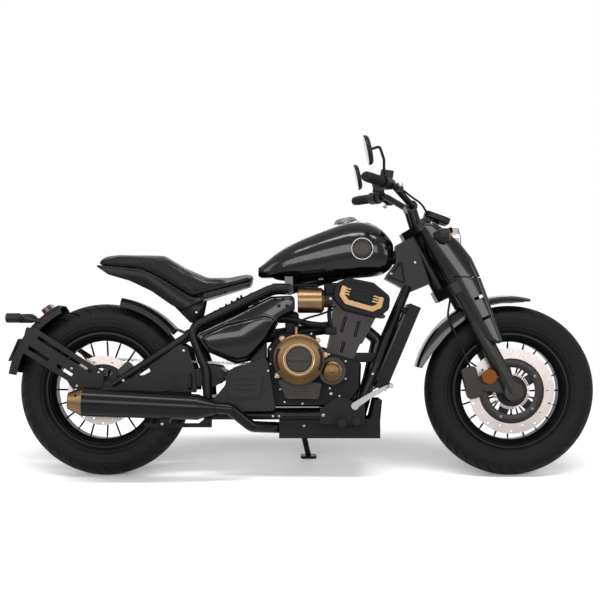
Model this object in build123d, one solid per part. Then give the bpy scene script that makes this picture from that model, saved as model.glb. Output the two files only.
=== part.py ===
from build123d import *
from collections import namedtuple
from math import atan2, cos, degrees, radians, sin, sqrt, tan
import os

# A long, low cruiser motorcycle with fat tyres, spoked wheels, a solo seat and a liquid cooled engine,
# parked on its side stand. Every piece is drawn with the machine upright: x forward, y to its left,
# z up from the floor, x = 0 midway between the axles. The last lines lean it onto the stand.

# Driving dimensions, in millimetres and degrees
WHEELBASE = 1526.0
RAKE = 28.4                # steering axis, from the vertical
FORK_OFFSET = 45.0         # fork legs ahead of the steering axis
LEAN = 9.0                 # towards the left, onto the stand
SEAT_GAP = 0.3             # between a soft or curved piece and what carries it
RUNNING_GAP = 0.05         # radial, a turning hub on its axle
MOVING_GAP = 5.0           # between moving pieces that don't bear on each other
PLATE = 4.0                # sheet brackets and panels
SHELL = 3.0                # moulded covers

# Wheels
Wheel = namedtuple("Wheel", "x radius width crown shoulder rim_half hub_half disc_y disc_r disc_inner")
FRONT = Wheel(WHEELBASE / 2, 320.0, 130.0, 74.0, 54.0, 46.0, 55.0, -70.0, 160.0, 122.0)
REAR = Wheel(-WHEELBASE / 2, 323.0, 150.0, 84.0, 64.0, 56.0, 62.0, -84.0, 130.0, 98.0)
BEAD_R = 203.0
FLANGE_R = 217.0
RIM_BED_R = 184.0
RIM_LIP = 7.0
SPOKES = 20
SPOKE_R = 2.6
SPOKE_SINK = 4.0           # spoke ends inside hub and rim
HUB_R = 30.0
HUB_FLANGE_R = 50.0
HUB_FLANGE = 8.0
AXLE_R = 10.0
DISC = 5.0
DISC_LAP = 5.0             # rotor on carrier
CARRIER = 6.0
CARRIER_WINDOWS = 5
DISC_HOLES = 20
DISC_HOLE_R = 4.0
SPROCKET_Y = 94.0
SPROCKET_R = 104.0
SPROCKET = 7.0

# Fork and steering, heights measured up the fork from the front axle
LEG_Y = 108.0
STANCHION_R = 22.0
SLIDER_R = 28.0
SLIDER_TOP = 296.0
SLIDER_FOOT = 34.0
LOWER_CLAMP = (420.0, 462.0)
UPPER_CLAMP = (686.0, 714.0)
FORK_TOP = 726.0
STEM_R = 15.0
HEAD_TUBE_R = 31.0
HEAD_BORE_R = 20.0
BEARING_GAP = 0.4
CLAMP_REACH = 34.0         # clamp material around each bore
BAR_R = 12.5
GRIP_R = 17.5
GRIP_LENGTH = 128.0
RISER_Y = 52.0
RISER_R = 19.0
MIRROR_R = 53.0
MIRROR_STEM_R = 5.0

# Fenders: radius over the tyre, side skirt, half width
FENDER_GAP = 18.0
FENDER_SKIRT = 36.0
FENDER_SHEET = 3.0

# Frame
RAIL_R = 17.0
RAIL_Y = 124.0
SPINE_R = 25.0
CRADLE_R = 16.0
CRADLE_Y = 118.0
ARM_Y = 116.0              # swingarm legs
ARM_WIDTH = 24.0
PIVOT = (-330.0, 380.0)
PIVOT_R = 24.0
COIL_R = 31.0              # spring, to the middle of its wire
COIL_WIRE_R = 5.0
COIL_TURNS = 8
GUSSET_HALF = 42.0

# Engine
ENGINE_HALF = 104.0
CYLINDER_TILT = 16.0
CYLINDER_FOOT = (126.0, 452.0)
CLUTCH = (-32.0, 441.0)
CLUTCH_R = 92.0
CLUTCH_FACE = -188.0
CLUTCH_EARS = (10.0, 45.0, 129.0, 217.0)
PUMP_DEPTH = 56.0
CAN = (12.0, 658.0)
CAN_Y = -104.0
CAN_R = 47.0
CAN_LENGTH = 98.0
CHAIN_PITCH = 15.875
CHAIN_HALF = 5.5

# Exhaust
MUFFLER_R = (53.0, 47.0)   # rear, front
PIPE_R = 21.0

# Side stand
STAND_PIVOT = (-30.0, 142.0, 205.0)
STAND_FOOT_Y = 252.0
STAND_FORWARD = 36.0       # foot ahead of pivot
STAND_R = 11.0
STAND_FOOT = (62.0, 44.0, 10.0)
STAND_PIN_R = 7.0
STAND_EYE = 24.0           # along the pin

# Bars, lamps and moulded covers, as (x, z) or (x, y, z) of the upright machine, right side
BAR_CENTRE = (390.0, 1012.0)
BAR_KNEE = (312.0, -200.0, 1076.0)
BAR_END = (205.0, -412.0, 1081.0)
LEVER_PIVOT = (330.0, -258.0, 1056.0)
LEVER_TIP = (322.0, -398.0, 1056.0)
MIRROR_CENTRE = (211.0, -395.0, 1177.0)
MIRROR_TILT = 12.0
NACELLE_HALF = 146.0
NACELLE_SIDE = [
    (350, 942), (461, 952), (516, 915), (565, 871), (609, 815), (640, 746), (661, 690), (440, 690),
]
NACELLE_KEPT = [(416, 1000), (416, 948), (513, 746), (700, 746), (700, 1000)]
FLANK_R = 20.0
GUARD_INNER = 84.0
GUARD_SIDE = [(498, 780), (627, 780), (668, 668), (690, 600), (742, 466), (652, 514), (536, 690)]
GUARD_HOLLOW = [(470, 800), (616, 800), (664.5, 668), (686.5, 600), (740, 462), (600, 440)]
GUARD_FLANK_R = 18.0
VENTS = [(630, 668), (660, 594)]
LAMP = (556.0, 868.0)
LAMP_R = 74.0
LAMP_BULGE = 20.0

# Frame runs
GUSSET = [(332, 902), (394, 915), (462, 722), (386, 690), (340, 716), (292, 742), (300, 756), (332, 800)]
GUSSET_PANEL = [(312, 752), (366, 716), (364, 812)]
SPINE = ((350, 0, 830), (-70, 0, 706))
CROSS = (-70.0, 702.0)
RAIL = [(-70, 702), (-130, 704), (-436, 556), (-374, 392), (-368, 248.2)]
SHOCK_TOP = (-205.0, 667.0)
SHOCK_FOOT = (-446.0, 528.0)
ARM_PANEL = [(-470, 496), (-700, 372), (-716, 326), (-410, 316), (-420, 400), (-446, 482)]
ARM_SLOTS = [((-655, 366), (-592, 401), 20), ((-436, 334), (-436, 378), 18)]   # start, end, width
CRADLE_Z = 232.0
CRADLE = [
    (378, -34, 712), (256, -104, 420), (196, -CRADLE_Y, 270), (120, -CRADLE_Y, CRADLE_Z),
    (-384, -CRADLE_Y, CRADLE_Z),
]

# Engine outlines; from BARREL on they lie in the tilted cylinder's own axes
CRANKCASE = [
    (-150, 262), (150, 262), (196, 330), (200, 428), (52, 476), (24, 540), (-110, 540), (-150, 480),
]
SUMP_COVER = [(-112, 368), (-78, 295), (38, 295), (52, 352)]
PUMP = (90.0, 397.0)
SPROCKET_COVER = [(-258, 320), (-120, 320), (-120, 418), (-258, 418)]
BARREL = [(-56, 0), (46, 0), (54, 60), (62, 66), (84, 174), (-80, 174), (-66, 66), (-60, 60)]
BARREL_SLOTS = [(-25, 114, 62), (28, 112, 62), (-5, 32, 44)]      # x, z, length
FLANGE = [(-108, 176), (116, 176), (116, 192), (-108, 192)]
HEAD = [(-88, 170), (94, 170), (98, 250), (64, 274), (-62, 274), (-88, 240)]
HEAD_COVER = [(-60, 286), (40, 294), (112, 262), (122, 215), (90, 170), (-40, 165), (-90, 195), (-98, 250)]
COVER_BLOCK = [(-28, 216), (46, 216), (40, 274), (-22, 274)]
COMB = [
    (-70, 252), (-70, 214), (-40, 189), (64, 189), (92, 212), (92, 250), (74, 250), (74, 221), (57, 207),
    (-33, 207), (-52, 222), (-52, 252),
]
FRONT_SPROCKET = (-200.0, 372.0)
FRONT_SPROCKET_R = 36.0
RADIATOR = Plane(origin=(336, 0, 484), x_dir=(0.921, 0, -0.389), z_dir=(0.389, 0, 0.921))

# Exhaust run
HEADER_RIGHT = [
    (206, -52, 560), (266, -52, 510), (226, -52, 330), (186, -62, 184), (-112, -78, 184), (-206, -160, 194),
    (-285, -203, 262), (-337.8, -205, 265),
]
HEADER_LEFT = [(206, 52, 560), (266, 52, 510), (226, 52, 330), (186, 44, 184), (120, 20, 184), (20, -66, 184)]
MUFFLER_NECK = (-338.0, -205.0, 265.0)
MUFFLER_REAR = (-818.0, -205.0, 288.0)

MUFFLER_STRAP = [(-600, 204), (-600, 190), (-352, 190), (-352, 222), (-380, 222), (-400, 206)]

# Body work; TANK rows are x, bottom, top, half width
TANK = [
    (-186, 752, 784, 20), (-120, 731, 836, 66), (-28, 731, 890, 100), (100, 740, 940, 128), (205, 748, 957, 136),
    (283, 760, 921, 118), (321, 796, 872, 76),
]
TANK_PANEL = [(-135, 784), (20, 862), (150, 896), (236, 892), (276, 845), (236, 788), (150, 776), (10, 774)]
PANEL_RISE = 5.0
BADGE = (201.0, 848.0)
BADGE_R = 42.0
BADGE_Y = 147.0            # from the middle plane to its face
CAP_TILT = -10.0
SEAT_SIDE = [
    (-783, 791), (-768, 826), (-539, 822), (-465, 776), (-376, 738), (-294, 740), (-203, 758), (-208, 732),
    (-427, 674), (-560, 750), (-621, 776),
]
SEAT_PLAN = [(-800, -95), (-800, 95), (-560, 125), (-400, 150), (-190, 90), (-190, -90), (-400, -150), (-560, -125)]
PAN_SIDE = [
    (-788, 786), (-743, 755), (-661, 731), (-579, 692), (-508, 643), (-470, 622), (-389, 660), (-218, 712),
    (-208, 731.6), (-427, 673.6), (-560, 749.6), (-621, 775.6), (-783, 790.6),
]
SIDE_COVER = [
    (-420, 534), (-304, 590), (-138, 672), (-48, 676), (-48, 622), (-102, 592), (-146, 512), (-219, 431),
    (-267, 423), (-372, 468),
]
SIDE_POD = [
    (-396, 524), (-300, 570), (-160, 602), (-112, 588), (-152, 512), (-222, 440), (-264, 432), (-362, 474),
]
LOWER_COVER = [(-293, 400), (-157, 446), (-146, 430), (-117, 250), (-341, 250), (-348, 291), (-304, 346)]
BELLY = [(-106, 146), (270, 146), (270, 213), (277, 287), (250, 287), (234, 217.9), (-106, 217.9)]
PLATE_ANGLE = 156.0
PLATE_STAND = 8.0
PLATE_PCD = 100.0
PLATE_HOLE_R = 3.3
FOOT_PLATE = [(45, 200), (211, 200), (211, 272), (163, 286), (137, 298), (108, 298), (92, 290), (45, 254)]
PEG = (123.0, 214.0)
PEDAL_BOSS = (178.0, 214.0)
PEDAL = (174.0, 269.0)
PEDAL_ARM = [(166, 262), (178, 258), (230, 296), (306, 338), (304, 352), (226, 316), (166, 280)]
STAND_TUCKED = (-0.98, 0.16, 0.0)

# Derived places
FRONT_AXLE = (FRONT.x, 0.0, FRONT.radius)
REAR_AXLE = (REAR.x, 0.0, REAR.radius)
FORK = Plane(
    origin=FRONT_AXLE,
    x_dir=(cos(radians(RAKE)), 0, sin(radians(RAKE))),
    z_dir=(-sin(radians(RAKE)), 0, cos(radians(RAKE))),
)
FLOOR_RISE = max(w.crown for w in (FRONT, REAR)) * (1 - cos(radians(LEAN)))


# Small shapes that many pieces use

def several(*shapes):
    """One node of several solids that don't touch."""
    solids = [solid for shape in shapes for solid in shape.solids()]
    return Compound(solids) if len(solids) > 1 else solids[0]


def both_sides(shape):
    """A piece and its mirror image on the other side of the machine."""
    return several(shape, mirror(shape, about=Plane.XZ))


def rod(start, end, radius):
    """A round bar between two points."""
    run = Vector(end) - Vector(start)
    return Solid.make_cylinder(radius, run.length, Plane(origin=start, z_dir=run))


def tube(points, radius, bends):
    """A bar bent through points; bends is one radius, or one for each corner."""
    path = FilletPolyline(*points, radius=bends)
    return sweep(Plane(origin=path @ 0, z_dir=path % 0) * Circle(radius), path=path)


def outline(points, radius=0.0):
    """A closed face from (x, z) points with every corner rounded by radius."""
    if radius:
        return make_face(FilletPolyline(*points, radius=radius, close=True))
    return make_face(Polyline(*points, close=True))


def side_plate(face, y, thickness):
    """A face drawn in (x, z), extruded across the machine and centred on y."""
    return extrude(Plane.XZ.offset(-y) * face, amount=thickness / 2, both=True)


def across(radius, half, x, z, y=0.0):
    """A cylinder lying across the machine."""
    return Pos(x, y, z) * Rot(X=90) * Cylinder(radius, 2 * half)


def ring(outer, inner, thickness):
    """A flat ring about y, centred on the origin."""
    return Rot(X=90) * (Cylinder(outer, thickness) - Cylinder(inner, thickness))


def turned(edges):
    """A body of revolution about y from a closed chain of (radius, y) edges."""
    return revolve(Face(Wire(edges)), axis=Axis.Y)


def polygon_turned(points):
    """A body of revolution about y from a closed polygon of (radius, y) points."""
    return revolve(make_face(Polyline(*points, close=True)), axis=Axis.Y)


def at_wheel(wheel, shape):
    return Pos(wheel.x, 0, wheel.radius) * shape


# Wheels

def tyre(wheel):
    shoulder_r = wheel.radius - wheel.crown + sqrt(wheel.crown**2 - wheel.shoulder**2)
    foot = wheel.rim_half - SEAT_GAP
    foot_r = BEAD_R + SEAT_GAP
    lip_r = FLANGE_R + 2 * SEAT_GAP
    widest_r = (lip_r + shoulder_r) / 2
    half = wheel.width / 2
    edges = [
        ThreePointArc((shoulder_r, -wheel.shoulder), (wheel.radius, 0), (shoulder_r, wheel.shoulder)),
        ThreePointArc((shoulder_r, wheel.shoulder), (widest_r, half), (lip_r, foot)),
        Line((lip_r, foot), (foot_r, foot)),
        Line((foot_r, foot), (foot_r, -foot)),
        Line((foot_r, -foot), (lip_r, -foot)),
        ThreePointArc((lip_r, -foot), (widest_r, -half), (shoulder_r, -wheel.shoulder)),
    ]
    return at_wheel(wheel, turned(edges))


def spoked_wheel(wheel):
    """Rim, hub, disc carrier and straight spokes, alternate ones drawn to each hub flange."""
    inner, outer = wheel.rim_half, wheel.rim_half + RIM_LIP
    rim = polygon_turned([
        (RIM_BED_R, -outer * 0.5), (FLANGE_R - RIM_LIP, -outer), (FLANGE_R, -outer), (FLANGE_R, -inner),
        (BEAD_R, -inner), (BEAD_R, inner), (FLANGE_R, inner), (FLANGE_R, outer),
        (FLANGE_R - RIM_LIP, outer), (RIM_BED_R, outer * 0.5),
    ])
    flange_y = wheel.hub_half - HUB_FLANGE
    hub = polygon_turned([
        (AXLE_R + RUNNING_GAP, -wheel.hub_half), (HUB_FLANGE_R, -wheel.hub_half), (HUB_FLANGE_R, -flange_y),
        (HUB_R, -flange_y + HUB_FLANGE), (HUB_R, flange_y - HUB_FLANGE), (HUB_FLANGE_R, flange_y),
        (HUB_FLANGE_R, wheel.hub_half), (AXLE_R + RUNNING_GAP, wheel.hub_half),
    ])
    spokes = []
    for index in range(SPOKES):
        side = 1 if index % 2 else -1
        start = (HUB_FLANGE_R - SPOKE_SINK, side * (wheel.hub_half - HUB_FLANGE / 2), 0)
        end = (RIM_BED_R + SPOKE_SINK, side * wheel.rim_half * 0.3, 0)
        spokes.append(Rot(Y=360 * index / SPOKES) * rod(start, end, SPOKE_R))
    wheel_body = Part() + [rim, hub, carrier(wheel)] + spokes
    return at_wheel(wheel, wheel_body)


def carrier(wheel):
    """The dark spider that carries the rotor, bolted to the hub's right flange."""
    face_y = wheel.disc_y + DISC / 2
    reach = wheel.disc_inner + DISC_LAP
    plate = ring(reach, AXLE_R + RUNNING_GAP, CARRIER)
    mid = (reach - 14 + HUB_FLANGE_R) / 2
    window = SlotArc(
        CenterArc((0, 0), mid, 0, 360 / CARRIER_WINDOWS - 36), (reach - 14 - HUB_FLANGE_R) * 0.7
    )
    for index in range(CARRIER_WINDOWS):
        cut = Rot(X=90) * (Rot(Z=360 * index / CARRIER_WINDOWS) * extrude(window, CARRIER, both=True))
        plate -= cut
    boss_half = abs(-wheel.hub_half - face_y - CARRIER / 2) / 2 + 1
    boss = Pos(0, -wheel.hub_half - boss_half + 1, 0) * ring(HUB_FLANGE_R, AXLE_R + RUNNING_GAP, 2 * boss_half)
    return Pos(0, face_y + CARRIER / 2, 0) * plate + boss


def rotor(wheel):
    """Bright drilled brake rotor; it seats on the outer face of its carrier."""
    disc = ring(wheel.disc_r, wheel.disc_inner, DISC)
    holes = []
    for index in range(DISC_HOLES):
        row = wheel.disc_inner + DISC_LAP * 2.4 + (index % 2) * (wheel.disc_r - wheel.disc_inner) * 0.4
        holes.append(Rot(Y=360 * index / DISC_HOLES) * across(DISC_HOLE_R, DISC, row, 0))
    disc -= holes
    return at_wheel(wheel, Pos(0, wheel.disc_y, 0) * disc)


def rear_sprocket():
    teeth = 42
    disc = ring(SPROCKET_R, HUB_FLANGE_R - 8, SPROCKET)
    gaps = [Rot(Y=360 * i / teeth) * across(4.6, SPROCKET, SPROCKET_R + 1, 0) for i in range(teeth)]
    windows = [Rot(Y=60 * i) * across(15, SPROCKET, HUB_FLANGE_R + 28, 0) for i in range(6)]
    disc -= gaps + windows
    seat = SPROCKET_Y - SPROCKET / 2
    boss = polygon_turned([
        (AXLE_R + RUNNING_GAP, REAR.hub_half), (HUB_FLANGE_R, REAR.hub_half), (HUB_FLANGE_R, seat),
        (AXLE_R + RUNNING_GAP, seat),
    ])
    disc = Pos(0, SPROCKET_Y, 0) * disc
    return at_wheel(REAR, disc + boss)


# Fenders

def fender(wheel, start, end, half, gap, skirt):
    """A U-section sheet bent round the tyre between two angles, measured from straight ahead."""
    inner = wheel.radius + gap
    outer = inner + FENDER_SHEET
    section = Polyline(
        (inner - skirt, -half), (outer - 14, -half), (outer, -half + 14), (outer, half - 14),
        (outer - 14, half), (inner - skirt, half), (inner - skirt, half - FENDER_SHEET),
        (inner - 14, half - FENDER_SHEET), (inner, half - 15), (inner, -half + 15),
        (inner - 14, -half + FENDER_SHEET), (inner - skirt, -half + FENDER_SHEET), close=True,
    )
    sheet = revolve(make_face(section), axis=Axis.Y, revolution_arc=end - start)
    return at_wheel(wheel, Rot(Y=-end) * sheet)


# Fork, bars and lamps

def fork_legs():
    leg = Pos(0, -LEG_Y, (SLIDER_TOP + FORK_TOP) / 2) * Cylinder(STANCHION_R, FORK_TOP - SLIDER_TOP)
    leg += Pos(0, -LEG_Y, SLIDER_TOP / 2) * Cylinder(SLIDER_R, SLIDER_TOP)
    leg += Pos(0, -LEG_Y, 0) * Rot(X=90) * Cylinder(SLIDER_FOOT, 2 * SLIDER_R - 12)
    leg -= Pos(0, -LEG_Y, 0) * Rot(X=90) * Cylinder(AXLE_R + 0.1, 3 * SLIDER_R)
    return both_sides(FORK * leg)


def triple_clamps():
    half = NACELLE_HALF - SHELL - 0.1
    back = -FORK_OFFSET - 36
    shape = FilletPolyline(
        (28, -half), (28, half), (-30, half), (back, 58), (back, -58), (-30, -half), radius=20, close=True,
    )
    plate = make_face(shape)
    for side in (-1, 1):
        plate -= Pos(0, side * LEG_Y) * Circle(STANCHION_R + 0.1)
    body = Part()
    for bottom, top in (LOWER_CLAMP, UPPER_CLAMP):
        body += Pos(0, 0, bottom) * extrude(plate, top - bottom)
    stem = UPPER_CLAMP[1] - LOWER_CLAMP[0]
    body += Pos(-FORK_OFFSET, 0, LOWER_CLAMP[0] + stem / 2) * Cylinder(STEM_R, stem)
    return FORK * body


def risers():
    foot = FORK.from_local_coords((-16, 0, UPPER_CLAMP[1] - 4))
    post = Part()
    for side in (-1, 1):
        start = (foot.X, side * RISER_Y, foot.Z)
        end = (BAR_CENTRE[0] - 6, side * RISER_Y, BAR_CENTRE[1] + 14)
        post += rod(start, end, RISER_R)
    post += across(RISER_R + 3, RISER_Y + 19, *BAR_CENTRE)
    return post


def handlebar():
    x, z = BAR_CENTRE
    right = [BAR_END, BAR_KNEE, (x, -78.0, z)]
    left = [(px, -py, pz) for px, py, pz in reversed(right)]
    return tube(right + left, BAR_R, [70, 60, 60, 70])


def along_grip(distance):
    """A point on the right bar, measured inwards from its end."""
    run = Vector(*BAR_KNEE) - Vector(*BAR_END)
    return Vector(*BAR_END) + run.normalized() * distance


def grips(bar):
    return both_sides(rod(along_grip(-6), along_grip(GRIP_LENGTH), GRIP_R) - bar)


def bar_controls(bar):
    """Switch housing, lever perch and fluid reservoir on each bar."""
    body = rod(along_grip(GRIP_LENGTH + 2), along_grip(GRIP_LENGTH + 50), 25)
    body += rod(along_grip(GRIP_LENGTH + 50), along_grip(GRIP_LENGTH + 84), 20)
    perch = along_grip(GRIP_LENGTH + 68)
    body += rod(perch, LEVER_PIVOT, 12)
    body += Pos(LEVER_PIVOT) * Cylinder(14, 18)
    body += Pos(perch.X - 6, perch.Y + 2, perch.Z + 14) * Cylinder(16, 24)
    cup = fillet(Box(46, 58, 26).edges().filter_by(Axis.Z), 12)
    body += Pos(perch.X - 8, perch.Y + 2, perch.Z + 34) * Rot(Y=8) * cup
    return both_sides(body - bar)


def levers():
    """Brake lever on the right, clutch lever on the left."""
    pivot = Vector(*LEVER_PIVOT) + Vector(0, 0, 15)
    path = [(pivot.X, pivot.Y + 16, pivot.Z), (pivot.X + 4, pivot.Y - 30, pivot.Z), LEVER_TIP]
    blade = tube(path, 6, 40) + Pos(LEVER_TIP) * Sphere(9)
    blade += Pos(pivot.X, pivot.Y, pivot.Z) * Cylinder(11, 11)
    return both_sides(blade)


def mirror_stem():
    """Bent stem from the switch housing to the back of the right mirror."""
    foot = along_grip(GRIP_LENGTH + 24)
    points = [(foot.X - 1, foot.Y, foot.Z + 20), (268, -345, 1150), (250, -386, 1190), (214, -394, 1178)]
    return tube(points, MIRROR_STEM_R, [30, 12])


def mirror_place(shape):
    """Local z runs out of the back of the right mirror."""
    return Pos(MIRROR_CENTRE) * Rot(Y=-90 - MIRROR_TILT) * shape


def mirror_glass():
    return mirror_place(Pos(0, 0, 8) * Cylinder(MIRROR_R - 4, 2))


def mirrors():
    """Dished round heads on their stems."""
    back = fillet(Cylinder(MIRROR_R, 18).edges().sort_by(Axis.Z)[0], 14)
    return both_sides(mirror_place(back) + mirror_stem() - mirror_glass())


def nacelle_block(inset):
    """The nacelle's outer form, or its hollow, with rounded flanks; it runs on past the open back and foot."""
    face = outline(NACELLE_SIDE, 22)
    if inset:
        face = offset(face, -inset)
    block = side_plate(face, 0, 2 * (NACELLE_HALF - inset))
    flanks = block.faces().sort_by(Axis.Y)
    return fillet(flanks[0].edges() + flanks[-1].edges(), FLANK_R - inset)


def nacelle():
    """Shell round the headlamp and fork tops, open behind and below."""
    kept = side_plate(outline(NACELLE_KEPT), 0, 3 * NACELLE_HALF)
    shell = (nacelle_block(0) - nacelle_block(SHELL)) & kept
    roof = side_plate(outline([(380, 1000), (466, 1000), (466, 925), (380, 925)]), 0, 2 * (NACELLE_HALF - SHELL))
    bore = Pos(LAMP[0], 0, LAMP[1]) * Rot(Y=90) * Cylinder(LAMP_R + 1, 200)
    return shell - roof - bore


def guard_block(points, outer_y, flank_r):
    """A fork guard's outer form, or its hollow, with the outer flank rounded."""
    depth = NACELLE_HALF - GUARD_INNER
    block = side_plate(outline(points, flank_r + 3), outer_y + depth / 2, depth)
    return fillet(block.faces().sort_by(Axis.Y)[0].edges(), flank_r)


def fork_guards():
    """A moulded cover ahead of each fork leg, open behind and inside, with two slanted vents."""
    guard = guard_block(GUARD_SIDE, -NACELLE_HALF, GUARD_FLANK_R)
    guard -= guard_block(GUARD_HOLLOW, -NACELLE_HALF + SHELL, GUARD_FLANK_R - SHELL)
    guard &= side_plate(outline([(400, 742), (800, 742), (800, 400), (400, 400)]), 0, 400)
    for x, z in VENTS:
        slot = Pos(x, -NACELLE_HALF, z) * Rot(Y=-24) * Box(34, 30, 11)
        guard -= slot
    return both_sides(guard)


def headlamp():
    """Bowl and lens, held by an arm on the lower clamp's side of the nacelle."""
    bowl = Pos(LAMP[0] - 42, 0, LAMP[1]) * Rot(Y=90) * Cone(LAMP_R - 34, LAMP_R, 64)
    rim = Pos(LAMP[0], 0, LAMP[1]) * Rot(Y=90) * Cylinder(LAMP_R, 20)
    return bowl + rim


def headlamp_lens():
    """A shallow dome on the bowl's rim."""
    radius = LAMP_R - 4
    lip = radius * 0.12
    half = make_face(
        Line((0, 0), (0, radius)) + Line((0, radius), (4, radius))
        + ThreePointArc((4, radius), (LAMP_BULGE * 0.72, radius * 0.6), (LAMP_BULGE, lip))
        + Line((LAMP_BULGE, lip), (LAMP_BULGE, 0)) + Line((LAMP_BULGE, 0), (0, 0))
    )
    return Pos(LAMP[0] + 10.1, 0, LAMP[1]) * revolve(half, axis=Axis.X)


def instrument():
    """Round-cornered dial pod with a sunk face, on a short post."""
    pod = fillet(Box(98, 112, 26).edges().filter_by(Axis.Z), 26)
    pod = chamfer(pod.faces().sort_by(Axis.Z)[0].edges(), 7)
    pod -= Pos(0, 0, 13) * extrude(RectangleRounded(84, 98, 20), 3, both=True)
    pod = Pos(490, 0, 971) * Rot(Y=20) * pod
    return pod + rod((484, 0, 930), (486, 0, 966), 12)


def front_indicators():
    """Short round lamps with tapered backs, on stalks from the nacelle's flanks."""
    lamp = Pos(500, -182, 893) * Rot(Y=90) * fillet(Cylinder(28, 30).edges().sort_by(Axis.Z)[-1], 6)
    lamp += Pos(473, -182, 893) * Rot(Y=90) * Cone(12, 27, 24)
    lamp += rod((490, -NACELLE_HALF + 2, 893), (490, -172, 893), 8)
    return both_sides(lamp)


def front_caliper():
    """Two halves astride the rotor, hung on the right fork leg."""
    x, z = 612.0, 352.0
    y = FRONT.disc_y
    body = Pos(x, y - 10, z) * Rot(Y=-14) * fillet(Box(56, 44, 118).edges().filter_by(Axis.Y), 14)
    slot = at_wheel(FRONT, Pos(0, y, 0) * ring(FRONT.disc_r + MOVING_GAP, 40, DISC + 2 * MOVING_GAP))
    slot += at_wheel(FRONT, Pos(0, y + 8, 0) * ring(FRONT.disc_inner + DISC_LAP + MOVING_GAP, 40, 16))
    arm = side_plate(outline([(600, 330), (600, 372), (745, 390), (752, 318), (735, 312)], 8), -94, 10)
    body = body - slot
    arm -= FORK * (Pos(0, -LEG_Y, SLIDER_TOP / 2) * Cylinder(SLIDER_R + 0.1, SLIDER_TOP))
    arm -= at_wheel(FRONT, across(SLIDER_FOOT + 0.2, 160, 0, 0))
    return body + arm


def fork_reflectors():
    disc = across(27, 4, 671, 377, -136)
    disc += rod((671, -128, 377), (726, -112, 372), 6) + across(10, 6, 671, 377, -130)
    return both_sides(disc - FORK * (Pos(0, -LEG_Y, SLIDER_TOP / 2) * Cylinder(SLIDER_R + 0.1, SLIDER_TOP)))


def brake_hose():
    return tube([(604, -100, 410), (566, -102, 500), (520, -100, 600), (536, -92, 690)], 4, [90, 60])


def front_fender():
    sheet = fender(FRONT, 75, 166, 74, FENDER_GAP, FENDER_SKIRT)
    stay = FORK * (Pos(0, -90, SLIDER_TOP + 4) * Box(46, 36, 30))
    leg = FORK * (Pos(0, -LEG_Y, SLIDER_TOP / 2 + 20) * Cylinder(SLIDER_R + 0.1, SLIDER_TOP + 40))
    wheel_room = at_wheel(FRONT, across(FRONT.radius + FENDER_GAP + 1, 72, 0, 0))
    stay = stay - leg - wheel_room
    return sheet + stay + mirror(stay, about=Plane.XZ)


# Frame

def frame_head():
    """Steering head with its side gussets, a sunk triangle on each, and the spine under the tank."""
    low, high = LOWER_CLAMP[1] + BEARING_GAP, UPPER_CLAMP[0] - BEARING_GAP
    tube_body = FORK * (Pos(-FORK_OFFSET, 0, (low + high) / 2) * Cylinder(HEAD_TUBE_R, high - low))
    gusset = side_plate(outline(GUSSET), 0, 2 * GUSSET_HALF)
    for side in (-1, 1):
        gusset -= side_plate(outline(GUSSET_PANEL, 7), side * GUSSET_HALF, 10)
    slab = FORK * (Pos(0, 0, (low + high) / 2) * Box(900, 400, high - low))
    spine = rod(*SPINE, SPINE_R)
    bore = FORK * (Pos(-FORK_OFFSET, 0, (low + high) / 2) * Cylinder(HEAD_BORE_R, 400))
    front = FORK * (Pos(-FORK_OFFSET + HEAD_TUBE_R + 100, 0, 560) * Box(200, 400, 900))
    return tube_body + (gusset & slab) - front - bore + (spine - bore - cross_tube())


def cross_tube():
    return across(18, RAIL_Y, CROSS[0], CROSS[1])


def cross_tube_room():
    return across(18.1, RAIL_Y, CROSS[0], CROSS[1])


def frame_rails():
    points = [(x, -RAIL_Y, z) for x, z in RAIL]
    right = tube(points, RAIL_R, [120, 45, 120])
    pivot_plate = outline([(-392, 318), (-392, 424), (-326, 412), (-302, 380), (-326, 348)], 10)
    right += side_plate(pivot_plate, -108, 8) - across(14.1, 200, *PIVOT)
    brace = across(14, RAIL_Y, *SHOCK_TOP)
    return right + mirror(right, about=Plane.XZ) + cross_tube() + brace


def frame_cradle():
    right = tube(CRADLE, CRADLE_R, [60, 60, 50])
    body = right + mirror(right, about=Plane.XZ)
    for x in (140, -330):
        body += across(14, CRADLE_Y, x, CRADLE_Z)
    return body


def swingarm():
    """Box legs and upper tubes joined by slotted side panels."""
    x, z = REAR.x, REAR.radius
    leg = outline([
        (-302, 392), (-316, 350), (x + 20, z - 30), (x - 42, z - 26), (x - 42, z + 26), (x + 20, z + 36), (-345, 412),
    ], 9)
    outer, inner = ARM_Y + ARM_WIDTH / 2, ARM_Y - ARM_WIDTH / 2
    plan = outline([
        (-300, -76), (-300, -100), (-425, -100), (-510, -outer), (x - 60, -outer), (x - 60, -inner),
        (-505, -inner), (-415, -76),
    ])
    arm = side_plate(leg, -100, 100) & (Pos(0, 0, 200) * extrude(plan, 300))
    arm += tube([(SHOCK_FOOT[0], -88, SHOCK_FOOT[1]), (-545, -117, 463), (x + 40, -124, z + 22)], 14, 80)
    web = outline(ARM_PANEL, 6)
    for start, end, width in ARM_SLOTS:
        web -= slot_face(start, end, width)
    arm += side_plate(web, -111, 6)
    body = arm + mirror(arm, about=Plane.XZ)
    body += across(PIVOT_R, 100, *PIVOT) + across(14, 128, *PIVOT)
    body += across(15, 94, *SHOCK_FOOT)
    return body - across(AXLE_R + 0.1, 200, x, z)


def slot_face(start, end, width):
    """An oblong in (x, z) between two centres."""
    run = Vector(*end) - Vector(*start)
    middle = (Vector(*start) + Vector(*end)) / 2
    angle = degrees(atan2(run.Y, run.X))
    return Pos(middle.X, middle.Y) * Rot(Z=angle) * SlotCenterToCenter(run.length, width)


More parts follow.
